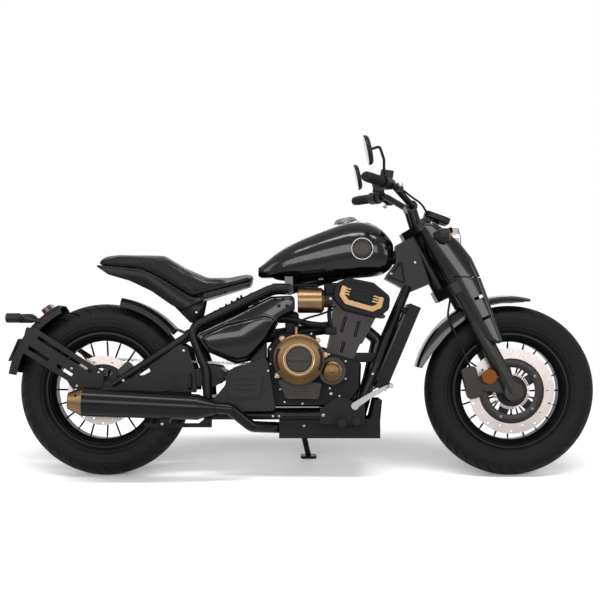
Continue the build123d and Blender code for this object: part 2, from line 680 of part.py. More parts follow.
def shock():
    """Damper with a wound spring between two seats."""
    start = Vector(SHOCK_FOOT[0], 0, SHOCK_FOOT[1])
    end = Vector(SHOCK_TOP[0], 0, SHOCK_TOP[1])
    length = (end - start).length
    plane = Plane(origin=start, z_dir=end - start)
    seat = 40.0
    winding = length - 2 * seat
    body = Pos(0, 0, length / 2) * Cylinder(17, length)
    for place in (seat - 4, length - seat + 4):
        body += Pos(0, 0, place) * Cylinder(COIL_R + COIL_WIRE_R, 8)
    wound = Pos((COIL_R - 2) / 2, length / 2) * Rectangle(COIL_R - 2, winding + 4)
    for turn in range(COIL_TURNS):
        wound += Pos(COIL_R, seat + winding * (turn + 0.5) / COIL_TURNS) * Circle(COIL_WIRE_R)
    coil = revolve(Plane.XZ * wound, Axis.Z, 360)
    eyes = across(24, 14, *SHOCK_FOOT) + across(24, 14, *SHOCK_TOP)
    pins = across(15.1, 100, *SHOCK_FOOT) + across(14.1, 100, *SHOCK_TOP)
    return plane * (body + coil) + eyes - pins


# Engine

def in_cylinder(shape):
    return Pos(CYLINDER_FOOT[0], 0, CYLINDER_FOOT[1]) * Rot(Y=CYLINDER_TILT) * shape


def crankcase():
    """Engine block with bevelled flanks and ribbed sides; the barrel's foot sits in its cut top."""
    case = side_plate(outline(CRANKCASE, 14), 0, 2 * ENGINE_HALF)
    flanks = case.faces().sort_by(Axis.Y)
    case = chamfer(flanks[0].edges() + flanks[-1].edges(), 8)
    return case - in_cylinder(Pos(33, 0, 200) * Box(234, 400, 400))


def cylinder():
    """Smooth barrel that widens upwards, a bolted flange with two ears, and the head above it."""
    body = side_plate(outline(BARREL, 4), 0, 2 * ENGINE_HALF - 14)
    for x, z, length in BARREL_SLOTS:
        for side in (-1, 1):
            body -= Pos(x, side * (ENGINE_HALF - 7), z) * Box(13, 24, length)
    body += side_plate(outline(FLANGE, 7), 0, 2 * ENGINE_HALF - 4)
    body += side_plate(outline(HEAD, 14), 0, 2 * ENGINE_HALF)
    return in_cylinder(body)


def head_cover_face(inset):
    face = outline(HEAD_COVER, 26)
    return offset(face, -inset) if inset else face


def head_covers():
    """Oval covers with a sunk field and a ribbed block in the middle."""
    cover = side_plate(head_cover_face(0), -ENGINE_HALF - 10, 20)
    cover = fillet(cover.faces().sort_by(Axis.Y)[0].edges(), 6)
    cover -= side_plate(head_cover_face(15), -ENGINE_HALF - 20, 10)
    block = side_plate(outline(COVER_BLOCK, 6), -ENGINE_HALF - 17, 10)
    for z in (232, 248, 264):
        block -= Pos(6, -ENGINE_HALF - 22, z) * Box(90, 5, 4)
    return both_sides(in_cylinder(cover + block))


def head_trims():
    """Bronze comb lying in the sunk field of each head cover."""
    comb = outline(COMB, 5)
    for z in (226, 236, 246):
        comb += Pos(-46, z) * Rectangle(22, 5)
        comb += Pos(64, z) * Rectangle(22, 5)
    return both_sides(in_cylinder(side_plate(comb, -ENGINE_HALF - 17.5, 5)))


def clutch_cover():
    depth = -CLUTCH_FACE - 14 - ENGINE_HALF
    x, z = CLUTCH
    base = across(CLUTCH_R - 4, depth / 2, x, z, -ENGINE_HALF - depth / 2)
    hub = Rot(X=90) * fillet(Cylinder(48, 24).edges().sort_by(Axis.Z)[-1], 5)
    base += Pos(x, CLUTCH_FACE + 10, z) * (hub - Pos(0, -12, 0) * Box(84, 4, 5))
    trapezoid = side_plate(outline(SUMP_COVER, 8), -ENGINE_HALF - 26, 52)
    slots = [Pos(-24, -ENGINE_HALF - 52, SUMP_COVER[1][1] + 16 + i * 12) * Box(60, 8, 5) for i in range(3)]
    return base + (trapezoid - across(CLUTCH_R - 6, 200, x, z) - slots)


def clutch_ring():
    """Bronze ring on the clutch cover, with a curved slot each side, four screw ears and a filler neck."""
    x, z = CLUTCH
    body = fillet(Cylinder(CLUTCH_R, 13.7).edges().sort_by(Axis.Z)[-1], 7)
    for angle in CLUTCH_EARS:
        body += Rot(Z=angle) * Pos(CLUTCH_R + 6, 0, -2) * Cylinder(10, 9.7)
    body += Pos(-10, CLUTCH_R + 8, -1) * Rot(X=90) * Cylinder(5.5, 34)
    body -= Cylinder(48.3, 20)
    slot = SlotArc(CenterArc((0, 0), 73, -38, 76), 16)
    for angle in (0, 180):
        body -= Rot(Z=angle) * (Pos(0, 0, -10) * extrude(slot, 20))
    return Pos(x, CLUTCH_FACE + 7, z) * Rot(X=90) * body


def pump_cover():
    x, z = PUMP
    housing = across(50, PUMP_DEPTH / 2, x, z, -ENGINE_HALF - PUMP_DEPTH / 2)
    return housing - across(38, 6, x, z, -ENGINE_HALF - PUMP_DEPTH)


def pump_cap():
    """Bronze cap with a rounded edge and a raised centre."""
    x, z = PUMP
    cap = fillet(Cylinder(37.7, 12).edges().sort_by(Axis.Z)[-1], 8) + Pos(0, 0, 6) * Cylinder(11, 6)
    return Pos(x, -ENGINE_HALF - PUMP_DEPTH, z) * Rot(X=90) * cap


def generator_cover():
    body = across(84, 28, 40, 400, ENGINE_HALF + 28) + across(60, 8, 40, 400, ENGINE_HALF + 60)
    plate = side_plate(outline(SPROCKET_COVER, 24), ENGINE_HALF + 12, 24)
    room = side_plate(outline([(-320, 300), (-146, 300), (-146, 445), (-320, 445)]), SPROCKET_Y + 4, 28)
    return body + (plate - room)


def intake_can():
    """Bronze canister at the front of the right side cover."""
    x, z = CAN
    can = Pos(x, CAN_Y, z) * Rot(Y=90) * Cylinder(CAN_R, CAN_LENGTH)
    can = chamfer(can.edges().sort_by(Axis.X)[-1], 10)
    return fillet(can.edges().sort_by(Axis.X)[0], 5)


def airbox():
    """Air filter and battery box between the side covers, its intake duct and the canister's neck."""
    box = fillet((Pos(-231, 0, 496) * Box(150, 208, 128)).edges().filter_by(Axis.Y), 16)
    duct = rod((-180, 0, 520), (96, 0, 560), 24) - side_plate(outline(CRANKCASE, 14), 0, 2 * ENGINE_HALF)
    start = CAN[0] + CAN_LENGTH / 2 - 4
    neck = rod((start, CAN_Y + 8, CAN[1]), (150, -84, 656), 26) - in_cylinder(side_plate(outline(HEAD), 0, 240))
    neck -= in_cylinder(side_plate(outline(HEAD_COVER, 26), 0, 300))
    return several(box + duct, neck - intake_can())


def side_covers():
    """Moulded covers under the rails: a slim arm that reaches forward and a fuller pod below it."""
    cover = side_plate(outline(SIDE_COVER, 16), -127, 46)
    cover = fillet(cover.faces().sort_by(Axis.Y)[0].edges(), 14)
    pod = side_plate(outline(SIDE_POD, 18), -144, 38)
    cover += fillet(pod.faces().sort_by(Axis.Y)[0].edges(), 15)
    return both_sides(cover)


def lower_covers():
    cover = side_plate(outline(LOWER_COVER, 14), -ENGINE_HALF - 37, 22)
    panel = outline([(-296, 300), (-172, 300), (-164, 388), (-284, 394)], 16)
    cover += side_plate(panel, -ENGINE_HALF - 51, 10)
    ribs = [Pos(-232, -ENGINE_HALF - 56, z) * Box(70, 8, 7) for z in (326, 346, 366)]
    cover = cover - ribs + across(13, 14, -136, 285, -ENGINE_HALF - 14)
    return both_sides(cover)


def radiator():
    """Finned core between side tanks, with a shroud lip and mounting lugs."""
    core = Box(30, 216, 312) + Pos(0, 0, 156) * Box(42, 230, 24) + Pos(0, 0, -156) * Box(42, 230, 24)
    for side in (-1, 1):
        core += Pos(0, side * 111, 0) * Box(42, 12, 330)
    fins = 24
    for index in range(fins):
        core -= Pos(15, 0, -138 + index * 276 / (fins - 1)) * Box(12, 204, 5)
    body = RADIATOR * core
    lugs = Part()
    for along, y in ((-120, 104), (140, 60)):
        for side in (-1, 1):
            lugs += RADIATOR * (Pos(-24, side * y, along) * Box(36, 18, 18))
    return body + (lugs - frame_cradle() - RADIATOR * (Pos(-140, 0, 0) * Box(200, 400, 500)))


# Exhaust

def exhaust():
    right = tube(HEADER_RIGHT, PIPE_R, [32, 60, 60, 90, 60, 28])
    left = tube(HEADER_LEFT, PIPE_R, [32, 60, 60, 60])
    return right + left


def muffler():
    """Long tapered can on a strap that runs back from the cradle."""
    axis = Plane(origin=MUFFLER_NECK, z_dir=Vector(*MUFFLER_REAR) - Vector(*MUFFLER_NECK))
    length = (Vector(*MUFFLER_REAR) - Vector(*MUFFLER_NECK)).length
    body = Pos(0, 0, 31) * Cone(PIPE_R + 3, MUFFLER_R[1], 62)
    body += Pos(0, 0, 62 + (length - 62) / 2) * Cone(MUFFLER_R[1], MUFFLER_R[0], length - 62)
    body = axis * body
    strap = side_plate(outline(MUFFLER_STRAP), -150, 8)
    hanger = Pos(-520, -178, 214) * Box(36, 62, 22)
    foot = across(10, 20, -366, 206, -134)
    hanger -= axis * (Pos(0, 0, length / 2) * Cone(MUFFLER_R[1] - 8, MUFFLER_R[0] - 2, length))
    return body + hanger + strap + foot - frame_cradle()


def muffler_tip():
    axis = Plane(origin=MUFFLER_REAR, z_dir=Vector(*MUFFLER_REAR) - Vector(*MUFFLER_NECK))
    body = Pos(0, 0, 0.1 + 27) * Cone(MUFFLER_R[0], 30, 54)
    body -= Pos(0, 0, 48) * Cylinder(20, 60)
    return axis * body


# Body work

def tank_form(grow):
    """The tank's lofted body, each flank grown outwards."""
    sections = []
    for x, low, high, half in TANK:
        height = high - low
        corner = min(half, height / 2) * 0.92
        plane = Plane(origin=(x, 0, (low + high) / 2), x_dir=(0, 1, 0), z_dir=(1, 0, 0))
        sections.append(plane * RectangleRounded(2 * (half + grow), height, corner))
    return loft(sections)


def fuel_tank():
    """Teardrop tank with a raised panel and a round badge seat on each flank, notched over the spine."""
    body = tank_form(0)
    panel = tank_form(PANEL_RISE) & side_plate(outline(TANK_PANEL, 14), 0, 400)
    body += panel
    x, z = BADGE
    for side in (-1, 1):
        seat = across(BADGE_R, 12, x, z, side * (BADGE_Y - 12))
        body += seat - across(BADGE_R - 6, 2, x, z, side * BADGE_Y)
    tunnel = Pos(130, 0, 700) * Box(420, 96, 306)
    tail = Pos(-90, 0, 690) * Box(220, 96, 110)
    body = body - tunnel - tail - cap_place(Cylinder(30, 80))
    body += Pos(250, 0, 845) * Box(40, 40, 60) - rod(*SPINE, SPINE_R + 0.1)
    for side in (-1, 1):
        body += Pos(CROSS[0], side * 70, 728) * Box(30, 30, 40) - cross_tube_room()
    return body


def cap_place(shape):
    return Pos(144, 0, 956) * Rot(Y=CAP_TILT) * shape


def fuel_cap():
    """Low domed cap with a rounded rim."""
    dome = fillet(Cone(46, 34, 16).edges().sort_by(Axis.Z)[-1], 9)
    return cap_place(Pos(0, 0, 9) * dome + Pos(0, 0, -10) * Cylinder(29.7, 40))


def seat_cushion():
    """Stepped saddle, rounded along its top."""
    body = side_plate(outline(SEAT_SIDE, 8), 0, 320)
    plan = extrude(outline(SEAT_PLAN, 40), 400)
    return body & (Pos(0, 0, 600) * plan)


def seat_pan():
    body = side_plate(outline(PAN_SIDE), 0, 320)
    plan = extrude(outline([(x, y * 0.96) for x, y in SEAT_PLAN], 40), 400)
    body = body & (Pos(0, 0, 500) * plan)
    bracket = side_plate(outline([(-520, 660), (-436, 574), (-402, 590), (-386, 664)], 6), -93, 8)
    boss = across(12, 16, -418, 577, -104)
    for piece in (bracket, boss):
        piece = piece - frame_rails_shape()
        body = body + piece + mirror(piece, about=Plane.XZ)
    return body


def frame_rails_shape():
    points = [(x, -RAIL_Y, z) for x, z in RAIL]
    return tube(points, RAIL_R + 0.1, [120, 45, 120])


def rear_fender():
    sheet = fender(REAR, 40, 79, 82, FENDER_GAP + 8, 30)
    tab = Pos(-472, -56, 541) * Rot(Y=23) * Box(70, 32, 6)
    tab -= across(15.1, 100, *SHOCK_FOOT)
    tab -= at_wheel(REAR, across(REAR.radius + FENDER_GAP + 9, 120, 0, 0))
    return sheet + tab + mirror(tab, about=Plane.XZ)


def tail_hanger():
    """Mud plate behind the wheel on two slotted arms from the axle."""
    plate = fender(REAR, 118, 170, 92, 34, 30)
    arm_face = outline([
        (-752, 392), (-1000, 552), (-1040, 560), (-1060, 470), (-890, 362), (-868, 330), (-756, 338),
    ], 8)
    for cut in (
        [(-1000, 516), (-800, 388), (-794, 396), (-994, 526)],
        [(-1034, 478), (-960, 432), (-954, 442), (-1028, 490)],
        [(-930, 412), (-872, 376), (-866, 386), (-924, 424)],
    ):
        arm_face -= outline(cut)
    arm = side_plate(arm_face, -ARM_Y - ARM_WIDTH / 2 - 3.1, 6)
    arm += across(9, 22, -1024, 540, -108)
    arm += across(9, 22, -1052, 486, -108)
    arm -= across(AXLE_R + 0.1, 300, REAR.x, REAR.radius)
    body = plate + arm + mirror(arm, about=Plane.XZ)
    return body + plate_pad()


def plate_place(shape):
    """Local x across the machine, z straight out of the number plate's face."""
    angle = radians(PLATE_ANGLE)
    r = REAR.radius + 34 + FENDER_SHEET
    origin = (REAR.x + r * cos(angle), 0, REAR.radius + r * sin(angle))
    return Plane(origin=origin, x_dir=(0, 1, 0), z_dir=(cos(angle), 0, sin(angle))) * shape


def plate_pad():
    pad = Pos(0, 0, PLATE_STAND + PLATE / 2) * Box(140, 90, PLATE)
    for side in (-1, 1):
        pad -= Pos(side * PLATE_PCD / 2, 0, PLATE_STAND) * Cylinder(PLATE_HOLE_R, 40)
        pad += Pos(side * 24, 0, PLATE_STAND / 2 - 2) * Cylinder(9, PLATE_STAND + 4)
    return plate_place(pad)


def rear_lamp():
    angle = radians(126)
    r = REAR.radius + 34 + FENDER_SHEET
    origin = (REAR.x + r * cos(angle), 0, REAR.radius + r * sin(angle))
    place = Plane(origin=origin, x_dir=(0, 1, 0), z_dir=(cos(angle), 0, sin(angle)))
    lamp = fillet(Box(96, 40, 24).edges().filter_by(Axis.Z), 16)
    return place * (Pos(0, 0, 11.4) * lamp) - at_wheel(REAR, across(r + 0.1, 200, 0, 0))


def rear_indicators():
    lamp = Pos(-1092, -112, 593) * Rot(Y=90) * Cylinder(18, 48)
    lamp += Pos(-1060, -112, 593) * Rot(Y=90) * Cone(18, 8, 16)
    lamp += rod((-1064, -112, 593), (-992, -86, 577), 6)
    return both_sides(lamp - fender(REAR, 117, 171, 92.1, 33, 40) - Pos(-1000, 0, 580) * Box(300, 184.2, 300))


def rear_caliper():
    y = REAR.disc_y
    body = Pos(-666, y, 390) * Rot(Y=45) * fillet(Box(70, 36, 56).edges().filter_by(Axis.Y), 12)
    body -= at_wheel(REAR, Pos(0, y, 0) * ring(REAR.disc_r + MOVING_GAP, 40, DISC + 2 * MOVING_GAP))
    body -= at_wheel(REAR, Pos(0, y + 8, 0) * ring(REAR.disc_inner + DISC_LAP + MOVING_GAP, 40, 16))
    return body + across(9, 2, -664, 352, y - 18)


# Controls under the rider's feet

def foot_rests(cradle):
    plate = side_plate(outline(FOOT_PLATE, 8), -CRADLE_Y - CRADLE_R - 5, 12)
    plate += across(15, 62, PEG[0], PEG[1], -CRADLE_Y - CRADLE_R - 11 - 60)
    plate += across(15, 20, PEDAL_BOSS[0], PEDAL_BOSS[1], -CRADLE_Y - CRADLE_R - 11 - 18)
    return both_sides(plate - cradle)


def pedals():
    """Brake pedal on the right, gear lever on the left."""
    y = -CRADLE_Y - CRADLE_R - 11.2 - 9
    arm = side_plate(outline(PEDAL_ARM, 4), y, 9)
    arm += across(14, 9, PEDAL[0], PEDAL[1], y)
    arm += across(9, 30, 304, 345, y - 24)
    return both_sides(arm)


def belly_pan():
    shell = side_plate(outline(BELLY), 0, 220)
    inner = [(-120, 149), (267, 149), (267, 214), (274, 300), (240, 300), (226, 230), (-120, 230)]
    shell -= side_plate(outline(inner), 0, 214)
    return shell


def drive_chain():
    """Endless chain round both sprockets, waisted between its pins."""
    front, rear = Vector(*FRONT_SPROCKET), Vector(REAR.x, REAR.radius)
    radii = (FRONT_SPROCKET_R + CHAIN_HALF + 3, SPROCKET_R + CHAIN_HALF + 3)

    def loop(grow):
        circles = [Pos(place.X, place.Y) * Circle(r + grow) for place, r in zip((front, rear), radii)]
        return make_hull([edge for circle in circles for edge in circle.edges()])

    middle = loop(0).wire()
    links = 2 * round(middle.length / CHAIN_PITCH / 2)
    band = loop(CHAIN_HALF) - loop(-CHAIN_HALF)
    waists = []
    for index in range(links):
        place, along = middle @ ((index + 0.5) / links), middle % ((index + 0.5) / links)
        for side in (-1, 1):
            out = Vector(-along.Y, along.X) * side * (CHAIN_HALF + 2.4)
            waists.append(Pos(place.X + out.X, place.Y + out.Y) * Circle(4.6))
    return side_plate(band - waists, SPROCKET_Y, 15)


def front_sprocket():
    x, z = FRONT_SPROCKET
    return across(FRONT_SPROCKET_R, 3.5, x, z, SPROCKET_Y) + across(16, 15.9, x, z, 96)


# Side stand

def stand_floor(y):
    """Height of the parked machine's floor at y, in the upright machine's axes."""
    return y * tan(radians(LEAN)) - FLOOR_RISE / cos(radians(LEAN))


def stand_foot_point():
    return Vector(STAND_PIVOT[0] + STAND_FORWARD, STAND_FOOT_Y, stand_floor(STAND_FOOT_Y))


def stand_axis():
    """Pin direction that carries the leg from the floor to level, pointing backwards."""
    down = (stand_foot_point() - Vector(*STAND_PIVOT)).normalized()
    tucked = Vector(*STAND_TUCKED).normalized()
    return down.cross(tucked).normalized()


def side_stand():
    foot = stand_foot_point()
    up = Vector(0, -sin(radians(LEAN)), cos(radians(LEAN)))
    sole = Plane(origin=foot, x_dir=(1, 0, 0), z_dir=up)
    leg = rod(STAND_PIVOT, foot + up * 6, STAND_R)
    pad = sole * (Pos(0, 0, STAND_FOOT[2] / 2) * fillet(Box(*STAND_FOOT).edges().filter_by(Axis.Z), 12))
    pin_plane = Plane(origin=STAND_PIVOT, z_dir=stand_axis())
    eye = pin_plane * Cylinder(19, STAND_EYE)
    bore = pin_plane * Cylinder(STAND_PIN_R + 0.3, 40)
    under = sole * (Pos(0, 0, -100) * Box(400, 400, 200))
    return leg + pad + eye - bore - under


def stand_bracket():
    """Fork-ended lug with the stand's pin, on the left cradle tube."""
    pin_plane = Plane(origin=STAND_PIVOT, z_dir=stand_axis())
    cheek = STAND_EYE / 2 + BEARING_GAP
    lug = Cylinder(STAND_PIN_R, STAND_EYE + 32)
    lug += Pos(0, 0, -cheek - 6) * Cylinder(17, 12)
    lug += Pos(0, 0, cheek + 4) * Cylinder(17, 8)
    inner_cheek = pin_plane.from_local_coords((0, 0, -cheek - 6))
    arm = rod(inner_cheek, (STAND_PIVOT[0], CRADLE_Y, CRADLE_Z), 10)
    return pin_plane * lug + (arm - pin_plane * Cylinder(30, 2 * cheek))


def assemble():
    """Every node, in the upright machine's axes."""
    nodes = {}
    for name, wheel in (("front", FRONT), ("rear", REAR)):
        nodes[f"{name}_tyre"] = tyre(wheel)
        nodes[f"{name}_wheel"] = spoked_wheel(wheel)
        nodes[f"{name}_rotor"] = rotor(wheel)
    nodes["rear_sprocket"] = rear_sprocket()

    # Steered pieces
    bar = handlebar()
    nodes["front_axle"] = front_axle()
    nodes["fork_legs"] = fork_legs()
    nodes["triple_clamps"] = triple_clamps() + (risers() - bar - nodes["fork_legs"])
    nodes["handlebar"] = bar
    nodes["grips"] = grips(bar)
    nodes["bar_controls"] = bar_controls(bar)
    nodes["levers"] = levers() - nodes["bar_controls"]
    nodes["mirrors"] = mirrors() - nodes["bar_controls"]
    nodes["mirror_glasses"] = both_sides(mirror_glass())
    nodes["nacelle"] = nacelle()
    nodes["fork_guards"] = fork_guards()
    nodes["headlamp"] = headlamp()
    nodes["headlamp_lens"] = headlamp_lens()
    nodes["instrument"] = instrument() - nodes["nacelle"]
    nodes["front_indicators"] = front_indicators() - nodes["nacelle"]
    nodes["front_caliper"] = front_caliper()
    nodes["fork_reflectors"] = fork_reflectors()
    nodes["brake_hose"] = brake_hose() - nodes["front_caliper"] - nodes["triple_clamps"]
    nodes["front_fender"] = front_fender()

    # Frame and engine
    cradle = frame_cradle() + stand_bracket()
    head = frame_head()
    rails = frame_rails() - cradle
    nodes["rear_axle"] = rear_axle()
    nodes["frame_head"] = head
    nodes["frame_rails"] = rails
    nodes["frame_cradle"] = cradle - head
    nodes["swingarm"] = swingarm()
    nodes["shock"] = shock()
    nodes["crankcase"] = crankcase()
    nodes["cylinder"] = cylinder()
    nodes["head_covers"] = head_covers()
    nodes["engine_covers"] = several(clutch_cover() + pump_cover(), generator_cover())
    nodes["engine_trims"] = several(clutch_ring(), pump_cap(), head_trims())
    nodes["intake_can"] = intake_can()
    nodes["airbox"] = airbox() - nodes["cylinder"]
    nodes["radiator"] = radiator()
    nodes["muffler"] = muffler()
    nodes["exhaust"] = exhaust() - nodes["cylinder"] - nodes["muffler"]
    nodes["muffler_tip"] = muffler_tip()
    nodes["drive_chain"] = several(drive_chain(), front_sprocket())

    # Body work and controls
    nodes["fuel_tank"] = fuel_tank()
    nodes["fuel_cap"] = fuel_cap() - nodes["fuel_tank"]
    nodes["seat_cushion"] = seat_cushion()
    nodes["seat_pan"] = seat_pan()
    nodes["side_covers"] = side_covers() - rails
    nodes["lower_covers"] = lower_covers() - rails
    nodes["belly_pan"] = belly_pan()
    nodes["rear_fender"] = rear_fender()
    nodes["tail_hanger"] = tail_hanger()
    nodes["rear_lamp"] = rear_lamp()
    nodes["rear_indicators"] = rear_indicators()
    nodes["rear_caliper"] = rear_caliper() - nodes["swingarm"]
    nodes["foot_rests"] = foot_rests(cradle)
    nodes["pedals"] = pedals()
    nodes["side_stand"] = side_stand()
    return nodes


def front_axle():
    inner = LEG_Y - SLIDER_R - 0.1
    bar = across(AXLE_R, LEG_Y + SLIDER_R + 4, FRONT.x, FRONT.radius)
    for side, hub_end in ((-1, -FRONT.disc_y + DISC / 2), (1, FRONT.hub_half)):
        start = hub_end + 0.5
        bar += across(17, (inner - start) / 2, FRONT.x, FRONT.radius, side * (inner + start) / 2)
    return bar


def rear_axle():
    inner = ARM_Y - ARM_WIDTH / 2 - 0.1
    bar = across(AXLE_R, ARM_Y + ARM_WIDTH / 2 + 16, REAR.x, REAR.radius)
    for side, hub_end in ((-1, -REAR.disc_y + DISC / 2), (1, SPROCKET_Y + SPROCKET / 2)):
        start = hub_end + 0.5
        bar += across(17, (inner - start) / 2, REAR.x, REAR.radius, side * (inner + start) / 2)
    return bar


# Leaning onto the stand; the parked machine's box stands centred on the origin
PARK = Pos(19.0, -182.0, FLOOR_RISE) * Rot(X=-LEAN)


def main():
    os.makedirs("parts", exist_ok=True)
    for name, shape in assemble().items():
        export_step(several(PARK * shape), f"parts/{name}.step")


if __name__ == "__main__":
    main()
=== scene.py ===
import logging
import math
from dataclasses import dataclass
from enum import Enum
from typing import Dict, List, Optional, Sequence, Tuple

import bmesh
import bpy
from mathutils import Matrix, Vector
from mathutils.bvhtree import BVHTree
from mathutils.geometry import intersect_point_line


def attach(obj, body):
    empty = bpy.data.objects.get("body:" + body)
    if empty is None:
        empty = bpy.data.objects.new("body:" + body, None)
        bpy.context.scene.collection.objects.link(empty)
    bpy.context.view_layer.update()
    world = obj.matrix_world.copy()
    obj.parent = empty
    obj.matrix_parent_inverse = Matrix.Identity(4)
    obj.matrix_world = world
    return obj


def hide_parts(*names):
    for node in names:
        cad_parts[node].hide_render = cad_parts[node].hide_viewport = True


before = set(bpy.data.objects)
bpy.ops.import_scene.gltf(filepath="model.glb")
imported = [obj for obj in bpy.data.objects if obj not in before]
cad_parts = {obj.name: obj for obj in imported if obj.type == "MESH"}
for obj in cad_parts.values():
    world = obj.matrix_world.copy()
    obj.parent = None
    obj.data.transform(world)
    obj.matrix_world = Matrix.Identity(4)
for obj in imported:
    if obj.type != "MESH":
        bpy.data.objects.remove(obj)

LOG = logging.getLogger("motorcycle")
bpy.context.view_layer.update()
Point = Tuple[float, float, float]
MM = 0.001


class Body(Enum):
    """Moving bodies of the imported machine."""

    CHASSIS = "chassis"
    STEERING = "steering"
    FRONT_WHEEL = "front_wheel_body"
    REAR_WHEEL = "rear_wheel_body"
    STAND = "stand"


class Grain(Enum):
    """Surface texture families."""

    SPRAYED = "sprayed"
    CAST = "cast"
    BRUSHED = "brushed"
    LEATHER = "leather"
    MOULDED = "moulded"


# Materials


def linear(hex_colour: str) -> Tuple[float, float, float, float]:
    """Turn an sRGB hex colour into linear RGBA.

    Args:
        hex_colour: six hex digits, with or without a leading hash.

    Returns:
        Linear red, green, blue and an alpha of one.
    """
    digits = hex_colour.lstrip("#")
    values = [int(digits[i:i + 2], 16) / 255 for i in (0, 2, 4)]
    red, green, blue = [v / 12.92 if v <= 0.04045 else ((v + 0.055) / 1.055) ** 2.4 for v in values]
    return red, green, blue, 1.0


def add_node(tree: bpy.types.NodeTree, kind: str, settings: Optional[dict] = None,
             inputs: Optional[dict] = None) -> bpy.types.Node:
    """Add one shader node, set it up and link it.

    Args:
        tree: node tree to add to.
        kind: Blender node type.
        settings: attribute names and values.
        inputs: socket names or numbers, each with a value or an output socket to link.

    Returns:
        The new node.
    """
    new = tree.nodes.new(kind)
    for key, value in (settings or {}).items():
        setattr(new, key, value)
    for key, value in (inputs or {}).items():
        if isinstance(value, bpy.types.NodeSocket):
            tree.links.new(value, new.inputs[key])
        else:
            new.inputs[key].default_value = value
    return new


@dataclass(frozen=True)
class Finish:
    """A real material and how it was made; sizes are in millimetres."""

    name: str
    colour: str
    tone: str                   # second colour of its faint clouding
    roughness: float
    metallic: float = 0.0
    coat: float = 0.0
    grain: Grain = Grain.SPRAYED
    grain_mm: float = 1.0
    depth_mm: float = 0.0
    wear: float = 0.04          # how far roughness wanders
    cloud_mm: float = 55.0
    edge_mm: float = 0.0        # broken edges that catch the light
    edge_wear_and_highlight: str = ""         # paint worn thin and a painted highlight, lighter on those edges
    transmission: float = 0.0
    specular: float = 0.5

    def build(self) -> bpy.types.Material:
        """Make the Blender material, or return it when it is made already.

        Returns:
            The material.
        """
        found = bpy.data.materials.get(self.name)
        if found:
            return found
        material = bpy.data.materials.new(self.name)
        material.use_nodes = True
        tree = material.node_tree
        shader = tree.nodes["Principled BSDF"]
        shader.inputs["Metallic"].default_value = self.metallic
        shader.inputs["Coat Weight"].default_value = self.coat
        shader.inputs["Coat Roughness"].default_value = 0.05
        shader.inputs["Specular IOR Level"].default_value = self.specular
        shader.inputs["Transmission Weight"].default_value = self.transmission
        place = add_node(tree, "ShaderNodeTexCoord").outputs["Object"]
        cloud = add_node(tree, "ShaderNodeTexNoise", None, {
            "Vector": place, "Scale": 1.0 / (self.cloud_mm * MM), "Detail": 3.0,
        })
        colour = add_node(tree, "ShaderNodeMix", {"data_type": "RGBA"}, {
            0: cloud.outputs["Fac"], 6: linear(self.colour), 7: linear(self.tone),
        }).outputs[2]
        spread = add_node(tree, "ShaderNodeMapRange", None, {
            "Value": cloud.outputs["Fac"], "To Min": max(self.roughness - self.wear, 0.02),
            "To Max": self.roughness + self.wear,
        })
        tree.links.new(spread.outputs["Result"], shader.inputs["Roughness"])
        edge = None
        if self.edge_mm:
            rounded = add_node(tree, "ShaderNodeBevel", {"samples": 4}, {"Radius": self.edge_mm * MM})
            edge = rounded.outputs["Normal"]
            # lighter colour on turning edges: worn paint together with a painted highlight
            if self.edge_wear_and_highlight:
                colour = self._worn_and_highlit_edges(tree, edge, colour)
        tree.links.new(colour, shader.inputs["Base Color"])
        normal = self._relief(tree, place, edge) if self.depth_mm else edge
        if normal:
            tree.links.new(normal, shader.inputs["Normal"])
        return material

    def _worn_and_highlit_edges(self, tree: bpy.types.NodeTree, edge: bpy.types.NodeSocket,
                    colour: bpy.types.NodeSocket) -> bpy.types.NodeSocket:
        """Lighten the paint where an edge turns: worn paint together with a painted highlight along each
        edge.

        Args:
            tree: the material's node tree.
            edge: rounded normal.
            colour: colour of the flat surface.

        Returns:
            The colour with worn paint and a painted highlight on its edges.
        """
        flat = add_node(tree, "ShaderNodeNewGeometry").outputs["Normal"]
        facing = add_node(tree, "ShaderNodeVectorMath", {"operation": "DOT_PRODUCT"}, {0: edge, 1: flat})
        turn = add_node(tree, "ShaderNodeMapRange", None, {
            "Value": facing.outputs["Value"], "From Min": 1.0, "From Max": 0.85,
            "To Min": 0.0, "To Max": 0.55,
        })
        return add_node(tree, "ShaderNodeMix", {"data_type": "RGBA"}, {
            0: turn.outputs["Result"], 6: colour, 7: linear(self.edge_wear_and_highlight),
        }).outputs[2]

    def _relief(self, tree: bpy.types.NodeTree, place: bpy.types.NodeSocket,
                edge: Optional[bpy.types.NodeSocket]) -> bpy.types.NodeSocket:
        """Add the grain's relief.

        Args:
            tree: the material's node tree.
            place: object coordinates.
            edge: rounded normal under the grain, if any.

        Returns:
            The bumped normal.
        """
        scale = 1.0 / (self.grain_mm * MM)
        if self.grain is Grain.BRUSHED:
            place = add_node(tree, "ShaderNodeMapping", None, {
                "Vector": place, "Scale": (0.03, 1.0, 1.0),
            }).outputs["Vector"]
        if self.grain is Grain.LEATHER:
            height = add_node(tree, "ShaderNodeTexVoronoi", {"feature": "DISTANCE_TO_EDGE"}, {
                "Vector": place, "Scale": scale,
            }).outputs["Distance"]
        else:
            detail = 4.0 if self.grain is Grain.CAST else 2.0
            height = add_node(tree, "ShaderNodeTexNoise", None, {
                "Vector": place, "Scale": scale, "Detail": detail,
            }).outputs["Fac"]
        bump = add_node(tree, "ShaderNodeBump", None, {
            "Height": height, "Strength": 1.0, "Distance": self.depth_mm * MM,
        })
        if edge:
            tree.links.new(edge, bump.inputs["Normal"])
        return bump.outputs["Normal"]


